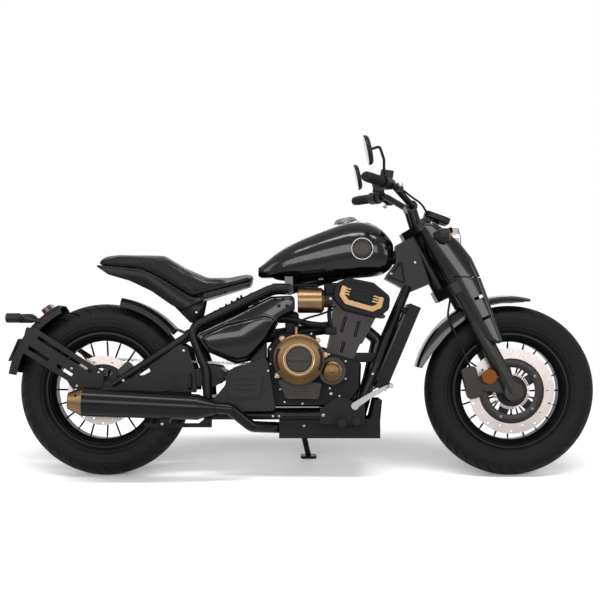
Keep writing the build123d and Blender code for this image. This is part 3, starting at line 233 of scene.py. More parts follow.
class Finishes:
    """The machine's finishes, one place for each colour."""

    # Each lighter edge colour below is worn paint together with a painted highlight on the edges.
    # Deep black under lacquer: sharp streaks of the lamps on a body that is otherwise almost without light.
    GLOSS_BLACK = Finish("gloss black enamel, sprayed and lacquered", "#030304", "#060607", 0.22, coat=0.3,
                         specular=0.12, edge_mm=1.6)
    # Powder coat has a fine orange peel that softens every streak along the tubes.
    SATIN_BLACK = Finish("satin black powder coat on steel", "#060606", "#0C0B0B", 0.34, grain=Grain.MOULDED,
                         grain_mm=1.4, depth_mm=0.02, wear=0.06, edge_mm=1.2, edge_wear_and_highlight="#242323",
                         specular=0.12)
    # Painted castings: a dull metallic sheen over a sandy skin.
    ENGINE_GREY = Finish("dark grey paint on cast aluminium", "#201F1E", "#2C2A29", 0.42, 0.6,
                         grain=Grain.CAST, grain_mm=2.2, depth_mm=0.05, wear=0.06, edge_mm=1.2,
                         edge_wear_and_highlight="#6E6B69", specular=0.15)
    # Crackle black drinks the light and shows only on its edges, whose lighter colour is worn paint and a
    # painted highlight.
    ENGINE_BLACK = Finish("crackle black paint on cast aluminium", "#060606", "#0C0B0B", 0.50,
                          grain=Grain.CAST, grain_mm=1.8, depth_mm=0.06, wear=0.06, edge_mm=1.0,
                          edge_wear_and_highlight="#2A2929", specular=0.1)
    # Anodised bronze: a warm metal with a soft, slightly streaked shine.
    BRONZE = Finish("bronze anodised aluminium, brushed", "#40311F", "#52402B", 0.34, 1.0,
                    grain=Grain.BRUSHED, grain_mm=0.9, depth_mm=0.012, wear=0.05, edge_mm=1.4,
                    edge_wear_and_highlight="#C9A87C")
    # The comb, lugs, can and muffler tip are paler than the rest of the bronze.
    LIGHT_BRONZE = Finish("bronze anodised aluminium, pale toned", "#5F4B36", "#765E44", 0.32, 1.0,
                          grain=Grain.BRUSHED, grain_mm=0.9, depth_mm=0.01, wear=0.05, edge_mm=1.2,
                          edge_wear_and_highlight="#D8BC94")
    # A paler copy of the bronze that paints a highlight line on the clutch's hoop: the palest line on the
    # engine.
    HIGHLIGHT_BRONZE = Finish("bronze anodised aluminium, bright turned", "#9C8066", "#B39678", 0.26, 1.0,
                         grain=Grain.BRUSHED, grain_mm=0.8, depth_mm=0.008, edge_mm=0.8)
    # Ceramic coat on the exhaust: nearly black with one long soft streak.
    GUNMETAL = Finish("gunmetal ceramic coat on steel", "#060505", "#0B0A0A", 0.22, grain=Grain.MOULDED,
                      grain_mm=2.0, depth_mm=0.006, wear=0.04, edge_mm=1.0, specular=0.14)
    # Ground steel is bright with fine scratches all one way.
    STEEL = Finish("bright steel, ground", "#8C8A88", "#A8A6A4", 0.28, 1.0, grain=Grain.BRUSHED, grain_mm=0.7,
                   depth_mm=0.01, wear=0.06, edge_mm=0.6)
    # Zinc is greyer and duller than ground steel.
    ZINC = Finish("zinc plated steel, cold headed", "#6E6C6A", "#868482", 0.34, 1.0, wear=0.06, cloud_mm=9.0)
    # Rotors are fresh ground stainless, the palest metal on the machine.
    ROTOR = Finish("stainless steel, surface ground", "#857F7D", "#99928F", 0.34, 1.0, grain=Grain.BRUSHED,
                   grain_mm=0.8, depth_mm=0.01, wear=0.05)
    # Chromium mirrors its surroundings, with a faint bloom.
    CHROME = Finish("chromium plate, polished", "#A9A8A7", "#C2C1C0", 0.12, 1.0, wear=0.03)
    # Dark anodising on rotor carriers and sliders.
    SLATE = Finish("grey anodised aluminium, bead blasted", "#222120", "#2D2B2A", 0.38, 0.8, grain=Grain.CAST,
                   grain_mm=0.9, depth_mm=0.02, edge_mm=0.8, edge_wear_and_highlight="#7A7775", specular=0.15)
    # Rubber is dull and a little brown with dust.
    TYRE = Finish("tyre rubber, moulded", "#080707", "#0F0E0D", 0.58, grain=Grain.MOULDED, grain_mm=1.1,
                  depth_mm=0.05, wear=0.07, specular=0.09)
    RUBBER = Finish("black rubber, moulded", "#070707", "#0D0C0C", 0.55, grain=Grain.MOULDED, grain_mm=0.9,
                    depth_mm=0.03, specular=0.1)
    # Leather has pebbles a few millimetres across and shines where it is stretched.
    LEATHER = Finish("black leather, stretched over foam", "#0C0B0B", "#151313", 0.46, grain=Grain.LEATHER,
                     grain_mm=3.6, depth_mm=0.10, wear=0.08, specular=0.08)
    # Moulded plastic keeps the mould's fine spark texture.
    PLASTIC = Finish("black plastic, moulded", "#0A0909", "#121010", 0.44, grain=Grain.MOULDED, grain_mm=1.1,
                     depth_mm=0.02, edge_mm=0.9, edge_wear_and_highlight="#242323", specular=0.14)
    # Polycarbonate is clear and hard, with a slight haze.
    CLEAR = Finish("clear polycarbonate, moulded", "#F2F5F7", "#E6EAED", 0.05, transmission=1.0, wear=0.02)
    GLASS = Finish("dark instrument glass, flat ground", "#07090B", "#0B0E11", 0.08, coat=0.4, specular=0.3,
                   wear=0.03)
    # Acrylic lenses are deeply dyed, glossy outside.
    RED = Finish("smoked red acrylic, moulded", "#2A0304", "#3A0506", 0.16, coat=0.2, specular=0.2)
    AMBER = Finish("amber acrylic, moulded", "#4E2600", "#5E3001", 0.26, coat=0.05, specular=0.1)
    MIRROR = Finish("silvered glass", "#7E7976", "#8A8582", 0.05, 1.0, wear=0.02)


NODE_GROUPS: Sequence[Tuple[Finish, Sequence[str]]] = (
    (Finishes.TYRE, ("front_tyre", "rear_tyre")),
    (Finishes.SATIN_BLACK, ("front_wheel", "rear_wheel", "triple_clamps", "handlebar", "frame_head",
                            "frame_rails", "frame_cradle", "swingarm", "shock", "seat_pan",
                            "rear_fender", "tail_hanger", "foot_rests", "side_stand")),
    (Finishes.ROTOR, ("front_rotor", "rear_rotor")),
    (Finishes.STEEL, ("rear_sprocket", "rear_axle", "levers", "drive_chain")),
    (Finishes.SLATE, ("front_axle", "fork_legs")),
    (Finishes.RUBBER, ("grips", "brake_hose")),
    (Finishes.PLASTIC, ("bar_controls", "mirrors", "instrument", "front_indicators", "airbox",
                        "lower_covers", "rear_indicators")),
    (Finishes.MIRROR, ("mirror_glasses",)),
    (Finishes.GLOSS_BLACK, ("nacelle", "fork_guards", "front_fender", "fuel_tank", "side_covers")),
    (Finishes.CHROME, ("headlamp",)),
    (Finishes.CLEAR, ("headlamp_lens",)),
    (Finishes.ENGINE_GREY, ("front_caliper", "cylinder", "engine_covers", "rear_caliper")),
    (Finishes.AMBER, ("fork_reflectors",)),
    (Finishes.ENGINE_BLACK, ("crankcase", "head_covers", "radiator", "belly_pan")),
    (Finishes.LIGHT_BRONZE, ("engine_trims", "intake_can", "muffler_tip")),
    (Finishes.GUNMETAL, ("muffler", "exhaust")),
    (Finishes.ZINC, ("fuel_cap", "pedals")),
    (Finishes.LEATHER, ("seat_cushion",)),
    (Finishes.RED, ("rear_lamp",)),
)
NODE_FINISH: Dict[str, Finish] = {name: finish for finish, names in NODE_GROUPS for name in names}


# Placing and building


@dataclass(frozen=True)
class Parking:
    """How the upright machine stands on its side stand."""

    lean_deg: float = 9.0
    shift_mm: Point = (19.0, -182.0, 1.0342)

    def matrix(self) -> Matrix:
        """Transform from upright millimetres to parked metres.

        Returns:
            A four by four matrix.
        """
        turn = Matrix.Rotation(math.radians(-self.lean_deg), 4, "X")
        return Matrix.Scale(MM, 4) @ Matrix.Translation(self.shift_mm) @ turn


PARKED = Parking().matrix()
UPRIGHT = PARKED.inverted()
EYE: Point = (-28.3, -4800.0, 552.0)    # the camera, in upright millimetres
RIGHT: Point = (0.0, -1.0, 0.0)         # out of the machine's right side
REACH = 6.0                             # length of a sight line, in metres


def toward(place: Point, axis: Point) -> Matrix:
    """A frame at a place with its z along an axis.

    Args:
        place: origin.
        axis: direction of z.

    Returns:
        A four by four matrix.
    """
    return Matrix.Translation(place) @ Vector(axis).to_track_quat("Z", "Y").to_matrix().to_4x4()


def mirrored(place: Point) -> Point:
    """The same place on the other side of the machine."""
    return place[0], -place[1], place[2]


class Skin:
    """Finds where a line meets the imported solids, or another piece."""

    def __init__(self, meshes: Dict[str, bpy.types.Mesh]) -> None:
        """Keep a search tree for each mesh.

        Args:
            meshes: meshes in parked metres by name.
        """
        self.trees = {
            name: BVHTree.FromPolygons([v.co for v in mesh.vertices], [p.vertices for p in mesh.polygons])
            for name, mesh in meshes.items()
        }

    def meet(self, start: Point, end: Point, only: Sequence[str] = ()) -> Optional[Tuple[Point, Point]]:
        """First place on a line, and the way the surface faces there.

        Args:
            start: where the line starts, upright millimetres.
            end: a point that it goes through.
            only: names to look at, all when empty.

        Returns:
            Place and normal in upright millimetres, or nothing.
        """
        origin = PARKED @ Vector(start)
        way = (PARKED @ Vector(end) - origin).normalized()
        hits = []
        for name in only or self.trees:
            spot, normal, _, distance = self.trees[name].ray_cast(origin, way, REACH)
            if spot is not None:
                hits.append((distance, spot, normal))
        if not hits:
            return None
        _, spot, normal = min(hits, key=lambda hit: hit[0])
        facing = (UPRIGHT.to_3x3() @ normal).normalized()
        return tuple(UPRIGHT @ spot), tuple(facing)

    def across(self, x: float, z: float, only: Sequence[str] = (), side: int = -1) -> Optional[Point]:
        """Surface seen square from one side of the machine.

        Args:
            x: place along the machine.
            z: height.
            only: names to look at.
            side: minus one for the right side, one for the left.

        Returns:
            The place, or nothing.
        """
        found = self.meet((x, side * 700.0, z), (x, 0.0, z), only)
        return found[0] if found else None


class Piece:
    """One added piece, drawn in the upright machine's millimetres."""

    def __init__(self, name: str, body: Body, finish: Finish) -> None:
        """Start an empty piece.

        Args:
            name: object name.
            body: body it rides on.
            finish: its material.
        """
        self.name = name
        self.body = body
        self.finish = finish
        self.bm = bmesh.new()

    def join(self, shape: bmesh.types.BMesh, place: Matrix) -> None:
        """Add a finished shape at a place.

        Args:
            shape: shape in its own axes, used up here.
            place: where it goes.
        """
        bmesh.ops.remove_doubles(shape, verts=shape.verts[:], dist=0.001)
        shape.transform(place)
        bmesh.ops.recalc_face_normals(shape, faces=shape.faces[:])
        mesh = bpy.data.meshes.new("shape")
        shape.to_mesh(mesh)
        shape.free()
        self.bm.from_mesh(mesh)
        bpy.data.meshes.remove(mesh)

    def turned(self, profile: Sequence[Tuple[float, float]], place: Point, axis: Point, segments: int = 48,
               closed: bool = False) -> None:
        """Spin a profile about an axis.

        Args:
            profile: (radius, along the axis) corners.
            place: origin of the axis.
            axis: its direction.
            segments: steps round.
            closed: whether the profile is a ring's section.
        """
        shape = bmesh.new()
        corners = [shape.verts.new((radius, 0.0, along)) for radius, along in profile]
        lines = [shape.edges.new(pair) for pair in zip(corners, corners[1:])]
        if closed:
            lines.append(shape.edges.new((corners[-1], corners[0])))
        bmesh.ops.spin(shape, geom=corners + lines, cent=(0, 0, 0), axis=(0, 0, 1), dvec=(0, 0, 0),
                       angle=2 * math.pi, steps=segments, use_merge=True, use_duplicate=False)
        self.join(shape, toward(place, axis))

    def screw(self, place: Point, axis: Point, radius: float, height: float) -> None:
        """Add a cap screw's head with its socket.

        Args:
            place: centre of the face it sits on.
            axis: out of that face.
            radius: head radius.
            height: head height.
        """
        shape = bmesh.new()
        bmesh.ops.create_cone(shape, cap_ends=True, cap_tris=False, segments=18, radius1=radius,
                              radius2=radius, depth=height,
                              matrix=Matrix.Translation((0, 0, height / 2 - 0.4)))
        top = max(shape.faces, key=lambda face: face.calc_center_median().z)
        bmesh.ops.bevel(shape, geom=list(top.edges), offset=radius * 0.22, offset_type="OFFSET", segments=2,
                        profile=0.5, affect="EDGES", material=-1)
        top = max(shape.faces, key=lambda face: face.calc_center_median().z)
        bmesh.ops.inset_region(shape, faces=[top], thickness=radius * 0.24, depth=0.0)
        bmesh.ops.inset_region(shape, faces=[top], thickness=radius * 0.02, depth=-height * 0.6)
        self.join(shape, toward(place, axis))

    def block(self, size: Point, place: Matrix, rounding: float, upright_only: bool = False) -> None:
        """Add a block with rounded edges.

        Args:
            size: its sides.
            place: where its centre goes.
            rounding: edge radius.
            upright_only: round only the edges along its z.
        """
        shape = bmesh.new()
        bmesh.ops.create_cube(shape, size=1.0)
        bmesh.ops.scale(shape, vec=size, verts=shape.verts[:])
        edges = shape.edges[:]
        if upright_only:
            edges = [e for e in edges if abs(e.verts[0].co.z - e.verts[1].co.z) > 0.5 * size[2]]
        bmesh.ops.bevel(shape, geom=edges, offset=rounding, offset_type="OFFSET", segments=4, profile=0.5,
                        affect="EDGES", material=-1)
        self.join(shape, place)

    def pipe(self, path: Sequence[Point], radius: float) -> None:
        """Add a bent round line through points.

        Args:
            path: its control points.
            radius: its radius.
        """
        data = bpy.data.curves.new("line", "CURVE")
        data.dimensions = "3D"
        data.bevel_depth = radius
        data.bevel_resolution = 3
        data.use_fill_caps = True
        line = data.splines.new("NURBS")
        line.points.add(len(path) - 1)
        for spot, where in zip(line.points, path):
            spot.co = (*where, 1.0)
        line.order_u = 3
        line.use_endpoint_u = True
        line.resolution_u = 6
        holder = bpy.data.objects.new("line", data)
        mesh = bpy.data.meshes.new_from_object(holder)
        self.bm.from_mesh(mesh)
        bpy.data.objects.remove(holder)
        bpy.data.curves.remove(data)
        bpy.data.meshes.remove(mesh)

    def done(self, smooth_deg: float = 40.0) -> bpy.types.Object:
        """Park the mesh, give it its finish and let it ride on its body.

        Args:
            smooth_deg: edges sharper than this stay sharp.

        Returns:
            The finished object.
        """
        self.bm.transform(PARKED)
        mesh = bpy.data.meshes.new(self.name)
        self.bm.to_mesh(mesh)
        self.bm.free()
        mesh.shade_smooth()
        mesh.set_sharp_from_angle(angle=math.radians(smooth_deg))
        mesh.materials.append(self.finish.build())
        piece = bpy.data.objects.new(self.name, mesh)
        bpy.context.collection.objects.link(piece)
        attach(piece, self.body.value)
        LOG.info("built %s: %d faces", self.name, len(mesh.polygons))
        return piece


# The machine's dressing


@dataclass
class Tyre:
    """Road tyre with swept shoulder grooves and ribbed sidewalls."""

    name: str
    body: Body
    x: float
    radius: float
    half: float                 # half its width
    crown: float                # radius of the tread's arch
    shoulder: float             # half the tread's width
    foot: float                 # half width at the bead
    lip_r: float = 217.6
    foot_r: float = 203.3
    columns: int = 240
    pitch: int = 6              # columns from groove to groove
    sweep_deg: float = 9.0      # how far a groove trails over the tread
    groove: float = 4.5
    rib: float = 1.6
    rib_rows: Sequence[int] = (5, 6, 14, 17)
    wall_steps: int = 20

    def profile(self) -> List[Tuple[float, float]]:
        """Section of one side, from the crown to the bead.

        Returns:
            (radius, half width) corners.
        """
        steps = 12
        turn = math.asin(self.shoulder / self.crown)
        base = self.radius - self.crown
        rows = [
            (base + self.crown * math.cos(turn * i / steps), self.crown * math.sin(turn * i / steps))
            for i in range(steps + 1)
        ]
        start, end = rows[-1], (self.lip_r, self.foot)
        middle = ((start[0] + end[0]) / 2, self.half)
        pull = [2 * m - (a + b) / 2 for a, m, b in zip(start, middle, end)]
        for i in range(1, self.wall_steps + 1):
            t = i / self.wall_steps
            r, y = [(1 - t) ** 2 * a + 2 * t * (1 - t) * p + t * t * b for a, p, b in zip(start, pull, end)]
            rows.append((r, y + (self.rib if i in self.rib_rows else 0.0)))
        rows.append((self.foot_r, self.foot))
        return rows

    def build(self) -> None:
        """Spin the section, sweep it and sink the grooves."""
        right = self.profile()
        left = [(r, -y) for r, y in reversed(right[1:])]
        piece = Piece(self.name + "_rubber", self.body, Finishes.TYRE)
        shape = bmesh.new()
        corners = [shape.verts.new((r, y, 0.0)) for r, y in left + right]
        lines = [shape.edges.new(pair) for pair in zip(corners, corners[1:] + corners[:1])]
        bmesh.ops.spin(shape, geom=corners + lines, cent=(0, 0, 0), axis=(0, 1, 0), dvec=(0, 0, 0),
                       angle=2 * math.pi, steps=self.columns, use_merge=True, use_duplicate=False)
        bmesh.ops.remove_doubles(shape, verts=shape.verts[:], dist=0.001)
        bmesh.ops.recalc_face_normals(shape, faces=shape.faces[:])
        bmesh.ops.inset_region(shape, faces=self._grooved(shape), thickness=1.2, depth=-self.groove,
                               use_even_offset=True)
        for corner in shape.verts:
            share = min(abs(corner.co.y) / self.shoulder, 1.0)
            turn = math.radians(self.sweep_deg) * share ** 1.5
            corner.co = Matrix.Rotation(turn, 3, "Y") @ corner.co
        piece.join(shape, Matrix.Translation((self.x, 0.0, self.radius)))
        rubber = piece.done(35)
        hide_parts(self.name)

    def _grooved(self, shape: bmesh.types.BMesh) -> List[bmesh.types.BMFace]:
        """Faces that become grooves, staggered from side to side.

        Args:
            shape: the spun tyre before it is swept.

        Returns:
            The faces.
        """
        chosen = []
        tread_r = self.radius - self.crown + math.sqrt(self.crown ** 2 - self.shoulder ** 2) - 4
        for face in shape.faces:
            spot = face.calc_center_median()
            share = abs(spot.y) / self.shoulder
            if not 0.3 < share < 1.06 or math.hypot(spot.x, spot.z) < tread_r:
                continue
            column = int((math.atan2(spot.z, spot.x) / (2 * math.pi) + 1.0) * self.columns)
            if column % self.pitch == (0 if spot.y < 0 else self.pitch // 2):
                chosen.append(face)
        return chosen


@dataclass
class WheelTrim:
    """Disc screws and spoke sleeves, and the front wheel's carrier and speed ring."""

    name: str
    body: Body
    x: float
    z: float
    bolt_r: float
    bolt_turn: float
    hub_half: float
    rim_half: float
    ring_r: float = 0.0
    ring_y: float = 0.0
    bolts: int = 5
    teeth: int = 44
    spokes: int = 20
    spoke_r: float = 3.5
    hub_r: float = 50.0
    bed_r: float = 184.0
    carrier: Tuple[float, float] = (88.0, 121.0)    # inner and outer radius
    arm: Point = (48.0, 38.0, 6.0)
    arm_r: float = 70.0                             # radius of an arm's middle

    def build(self, skin: Skin) -> None:
        """Make them.

        Args:
            skin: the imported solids.
        """
        screws = Piece(self.name + "_disc_screws", self.body, Finishes.ZINC)
        for index in range(self.bolts):
            angle = math.radians(self.bolt_turn + 360 * index / self.bolts)
            x, z = self.x + self.bolt_r * math.cos(angle), self.z + self.bolt_r * math.sin(angle)
            spot = skin.across(x, z, (self.name + "_wheel", self.name + "_rotor"))
            if spot:
                screws.screw(spot, RIGHT, 5.5, 4.0)
        screws.done()
        self._spokes()
        if self.ring_r:
            self._speed_ring()
            self._carrier()

    def _spokes(self) -> None:
        """The butted middle of each spoke, thicker than its ends."""
        spokes = Piece(self.name + "_spokes", self.body, Finishes.SATIN_BLACK)
        for index in range(self.spokes):
            side = 1 if index % 2 else -1
            turn = Matrix.Rotation(2 * math.pi * index / self.spokes, 4, "Y")
            foot = turn @ Vector((self.hub_r - 4, side * (self.hub_half - 4), 0.0))
            head = turn @ Vector((self.bed_r + 4, side * self.rim_half * 0.3, 0.0))
            way, r = head - foot, self.spoke_r
            spokes.turned([(2.2, 6), (r, 12), (r, way.length - 14), (2.2, way.length - 6)],
                          tuple(Vector((self.x, 0.0, self.z)) + foot), tuple(way), 16)
        spokes.done()

    def _carrier(self) -> None:
        """The grey ring that the rotor floats on, and the five arms that hold it to the hub."""
        arms = Piece(self.name + "_carrier_arms", self.body, Finishes.SATIN_BLACK)
        for index in range(self.bolts):
            turn = Matrix.Rotation(math.radians(self.bolt_turn + 360 * index / self.bolts), 4, "Z")
            hub = toward((self.x, self.ring_y + 4.0, self.z), RIGHT)
            arms.block(self.arm, hub @ turn @ Matrix.Translation((self.arm_r, 0.0, 0.0)), 1.5)
        arms.done()
        ring = Piece(self.name + "_carrier_ring", self.body, Finishes.SLATE)
        low, high = self.carrier
        ring.turned([(low, -0.4), (high, -0.4), (high, 2.6), (high - 1.5, 3.4), (low + 1.5, 3.4), (low, 2.6)],
                    (self.x, self.ring_y, self.z), RIGHT, 90, closed=True)
        ring.done()

    def _speed_ring(self) -> None:
        """A ring with a row of windows, cut as a comb of small bars between two hoops."""
        ring = Piece(self.name + "_speed_ring", self.body, Finishes.ROTOR)
        centre = (self.x, self.ring_y, self.z)
        for inner, outer in ((-4.6, -2.6), (2.6, 4.6)):
            low, high = self.ring_r + inner, self.ring_r + outer
            ring.turned([(low, 0), (high, 0), (high, 2), (low, 2)], centre, RIGHT, 66, closed=True)
        bars = bmesh.new()
        bmesh.ops.create_cube(bars, size=1.0)
        bmesh.ops.scale(bars, vec=(5.4, 4.4, 2.0), verts=bars.verts[:])
        bmesh.ops.translate(bars, vec=(self.ring_r, 0, 1.0), verts=bars.verts[:])
        steps = self.teeth - 1
        bmesh.ops.spin(bars, geom=bars.verts[:] + bars.edges[:] + bars.faces[:], cent=(0, 0, 0),
                       axis=(0, 0, 1), dvec=(0, 0, 0), angle=2 * math.pi * steps / self.teeth, steps=steps,
                       use_duplicate=True)
        ring.join(bars, toward(centre, RIGHT))
        ring.done()


@dataclass
class Seat:
    """Padded leather saddle, blown up from the plain cushion and capped."""

    voxel: float = 6.0
    slim: float = 0.97
    crown: float = 20.0
    cap: float = 7.0
    frames: int = 20
    plan: Sequence[Tuple[float, float]] = ((-800, 95), (-560, 125), (-400, 150), (-190, 90))
    seam: Sequence[Tuple[float, float]] = (
        # x, z of the piping, just above the cushion's lower edge
        (-772, 802), (-700, 795), (-630, 789), (-580, 773), (-540, 752), (-490, 723), (-440, 697),
        (-400, 695), (-340, 710), (-280, 726), (-222, 742),
    )

    def half(self, x: float) -> float:
        """Half width of the cushion at a place along the machine.

        Args:
            x: the place.

        Returns:
            Half width.
        """
        for (x0, y0), (x1, y1) in zip(self.plan, self.plan[1:]):
            if x <= x1:
                return y0 + (y1 - y0) * max(x - x0, 0) / (x1 - x0)
        return self.plan[-1][1]

    def build(self) -> None:
        """Make the pad and its piping."""
        pad = self._blank()
        self._crown(pad)
        self._inflate(pad)
        rounder = pad.modifiers.new("round", "SUBSURF")
        rounder.levels = 1
        rounder.render_levels = 1
        pad.data.shade_smooth()
        pad.data.materials.append(Finishes.LEATHER.build())
        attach(pad, Body.CHASSIS.value)
        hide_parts("seat_cushion")
        LOG.info("built %s: %d faces", pad.name, len(pad.data.polygons))
        self._piping(pad)

    def _blank(self) -> bpy.types.Object:
        """The cushion's solid, a little slimmer, remeshed into even squares.

        Returns:
            The pad's object.
        """
        shape = bmesh.new()
        shape.from_mesh(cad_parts["seat_cushion"].data)
        bmesh.ops.remove_doubles(shape, verts=shape.verts[:], dist=0.01 * MM)
        shape.transform(UPRIGHT)
        bmesh.ops.scale(shape, vec=(1.0, self.slim, 1.0), verts=shape.verts[:])
        shape.transform(PARKED)
        mesh = bpy.data.meshes.new("seat_pad")
        shape.to_mesh(mesh)
        shape.free()
        pad = bpy.data.objects.new("seat_pad", mesh)
        bpy.context.collection.objects.link(pad)
        even = pad.modifiers.new("even", "REMESH")
        even.mode = "VOXEL"
        even.voxel_size = self.voxel * MM
        self._apply(pad)
        return pad

    def _apply(self, pad: bpy.types.Object) -> None:
        """Fix the pad's modifiers into its mesh.

        Args:
            pad: the pad's object.
        """
        graph = bpy.context.evaluated_depsgraph_get()
        mesh = bpy.data.meshes.new_from_object(pad.evaluated_get(graph))
        pad.modifiers.clear()
        pad.data = mesh

    def _crown(self, pad: bpy.types.Object) -> None:
        """Let the top fall towards its sides, and soften every corner.

        Args:
            pad: the pad's object.
        """
        shape = bmesh.new()
        shape.from_mesh(pad.data)
        shape.transform(UPRIGHT)
        for corner in shape.verts:
            lean = max(corner.normal.z, 0.0)
            share = min(abs(corner.co.y) / self.half(corner.co.x), 1.0)
            corner.co.z -= self.crown * lean * share ** 3
        for _ in range(9):
            bmesh.ops.smooth_vert(shape, verts=shape.verts[:], factor=0.5, use_axis_x=True, use_axis_y=True,
                                  use_axis_z=True)
        shape.transform(PARKED)
        shape.to_mesh(pad.data)
        shape.free()

    def _inflate(self, pad: bpy.types.Object) -> None:
        """Blow the cover up against its sewn lower edge.

        Args:
            pad: the pad's object.
        """
        rest = [corner.co.copy() for corner in pad.data.vertices]
        held = pad.vertex_groups.new(name="sewn")
        held.add([c.index for c in pad.data.vertices if c.normal.z < -0.3], 1.0, "REPLACE")
        cloth = pad.modifiers.new("cover", "CLOTH")
        cloth.settings.use_pressure = True
        cloth.settings.uniform_pressure_force = 4.0
        cloth.settings.vertex_group_mass = "sewn"
        cloth.settings.effector_weights.gravity = 0.0
        scene = bpy.context.scene
        for number in range(1, self.frames + 1):
            scene.frame_set(number)
        self._apply(pad)
        scene.frame_set(1)
        for corner, start in zip(pad.data.vertices, rest):
            step = corner.co - start
            if step.length > self.cap * MM:
                corner.co = start + step.normalized() * self.cap * MM

    def _piping(self, pad: bpy.types.Object) -> None:
        """Lay piping along the lower seam on both sides.

        Args:
            pad: the finished pad.
        """
        skin = Skin({"pad": pad.data})
        piping = Piece("seat_piping", Body.CHASSIS, Finishes.RUBBER)
        for side in (-1, 1):
            path = [skin.across(x, z, side=side) for x, z in self.seam]
            piping.pipe([spot for spot in path if spot], 2.4)
        piping.done()


@dataclass
class TankTrim:
    """Blank round badges with a plated rim, and the studs on the side covers."""

    badge: Tuple[float, float] = (201.0, 848.0)
    badge_y: float = 147.0
    badge_r: float = 41.0
    studs: Sequence[Tuple[float, float]] = ((-120, 662), (-91, 662), (-61, 662), (-106, 637), (-76, 637))

    def build(self, skin: Skin) -> None:
        """Make them on both sides.

        Args:
            skin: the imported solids.
        """
        rims = Piece("badge_rims", Body.CHASSIS, Finishes.ZINC)
        wells = Piece("badge_wells", Body.CHASSIS, Finishes.RUBBER)
        faces = Piece("badge_faces", Body.CHASSIS, Finishes.SLATE)
        studs = Piece("cover_studs", Body.CHASSIS, Finishes.RUBBER)
        r = self.badge_r
        for side in (-1, 1):
            spot, axis = (self.badge[0], side * self.badge_y, self.badge[1]), (0.0, side, 0.0)
            rims.turned([(r - 3.2, -1), (r, -1), (r, 1.2), (r - 1.2, 2.6), (r - 3.2, 2.6)], spot, axis, 72,
                        closed=True)
            wells.turned([(r - 6, -1), (r - 3.2, -1), (r - 3.2, 0.8), (r - 6, 0.8)], spot, axis, 72,
                         closed=True)
            faces.turned([(r - 6, -1), (r - 6, 1.4), (r - 8, 2.4), (r / 2, 3.4), (0, 3.8)], spot, axis, 72)
            for x, z in self.studs:
                seat = skin.across(x, z, ("side_covers",), side)
                if seat:
                    studs.turned([(6.5, -1), (6.5, 0.8), (5.0, 2.2), (2.5, 3.0), (0, 3.2)], seat, axis, 24)
        for piece in (rims, wells, faces, studs):
            piece.done()


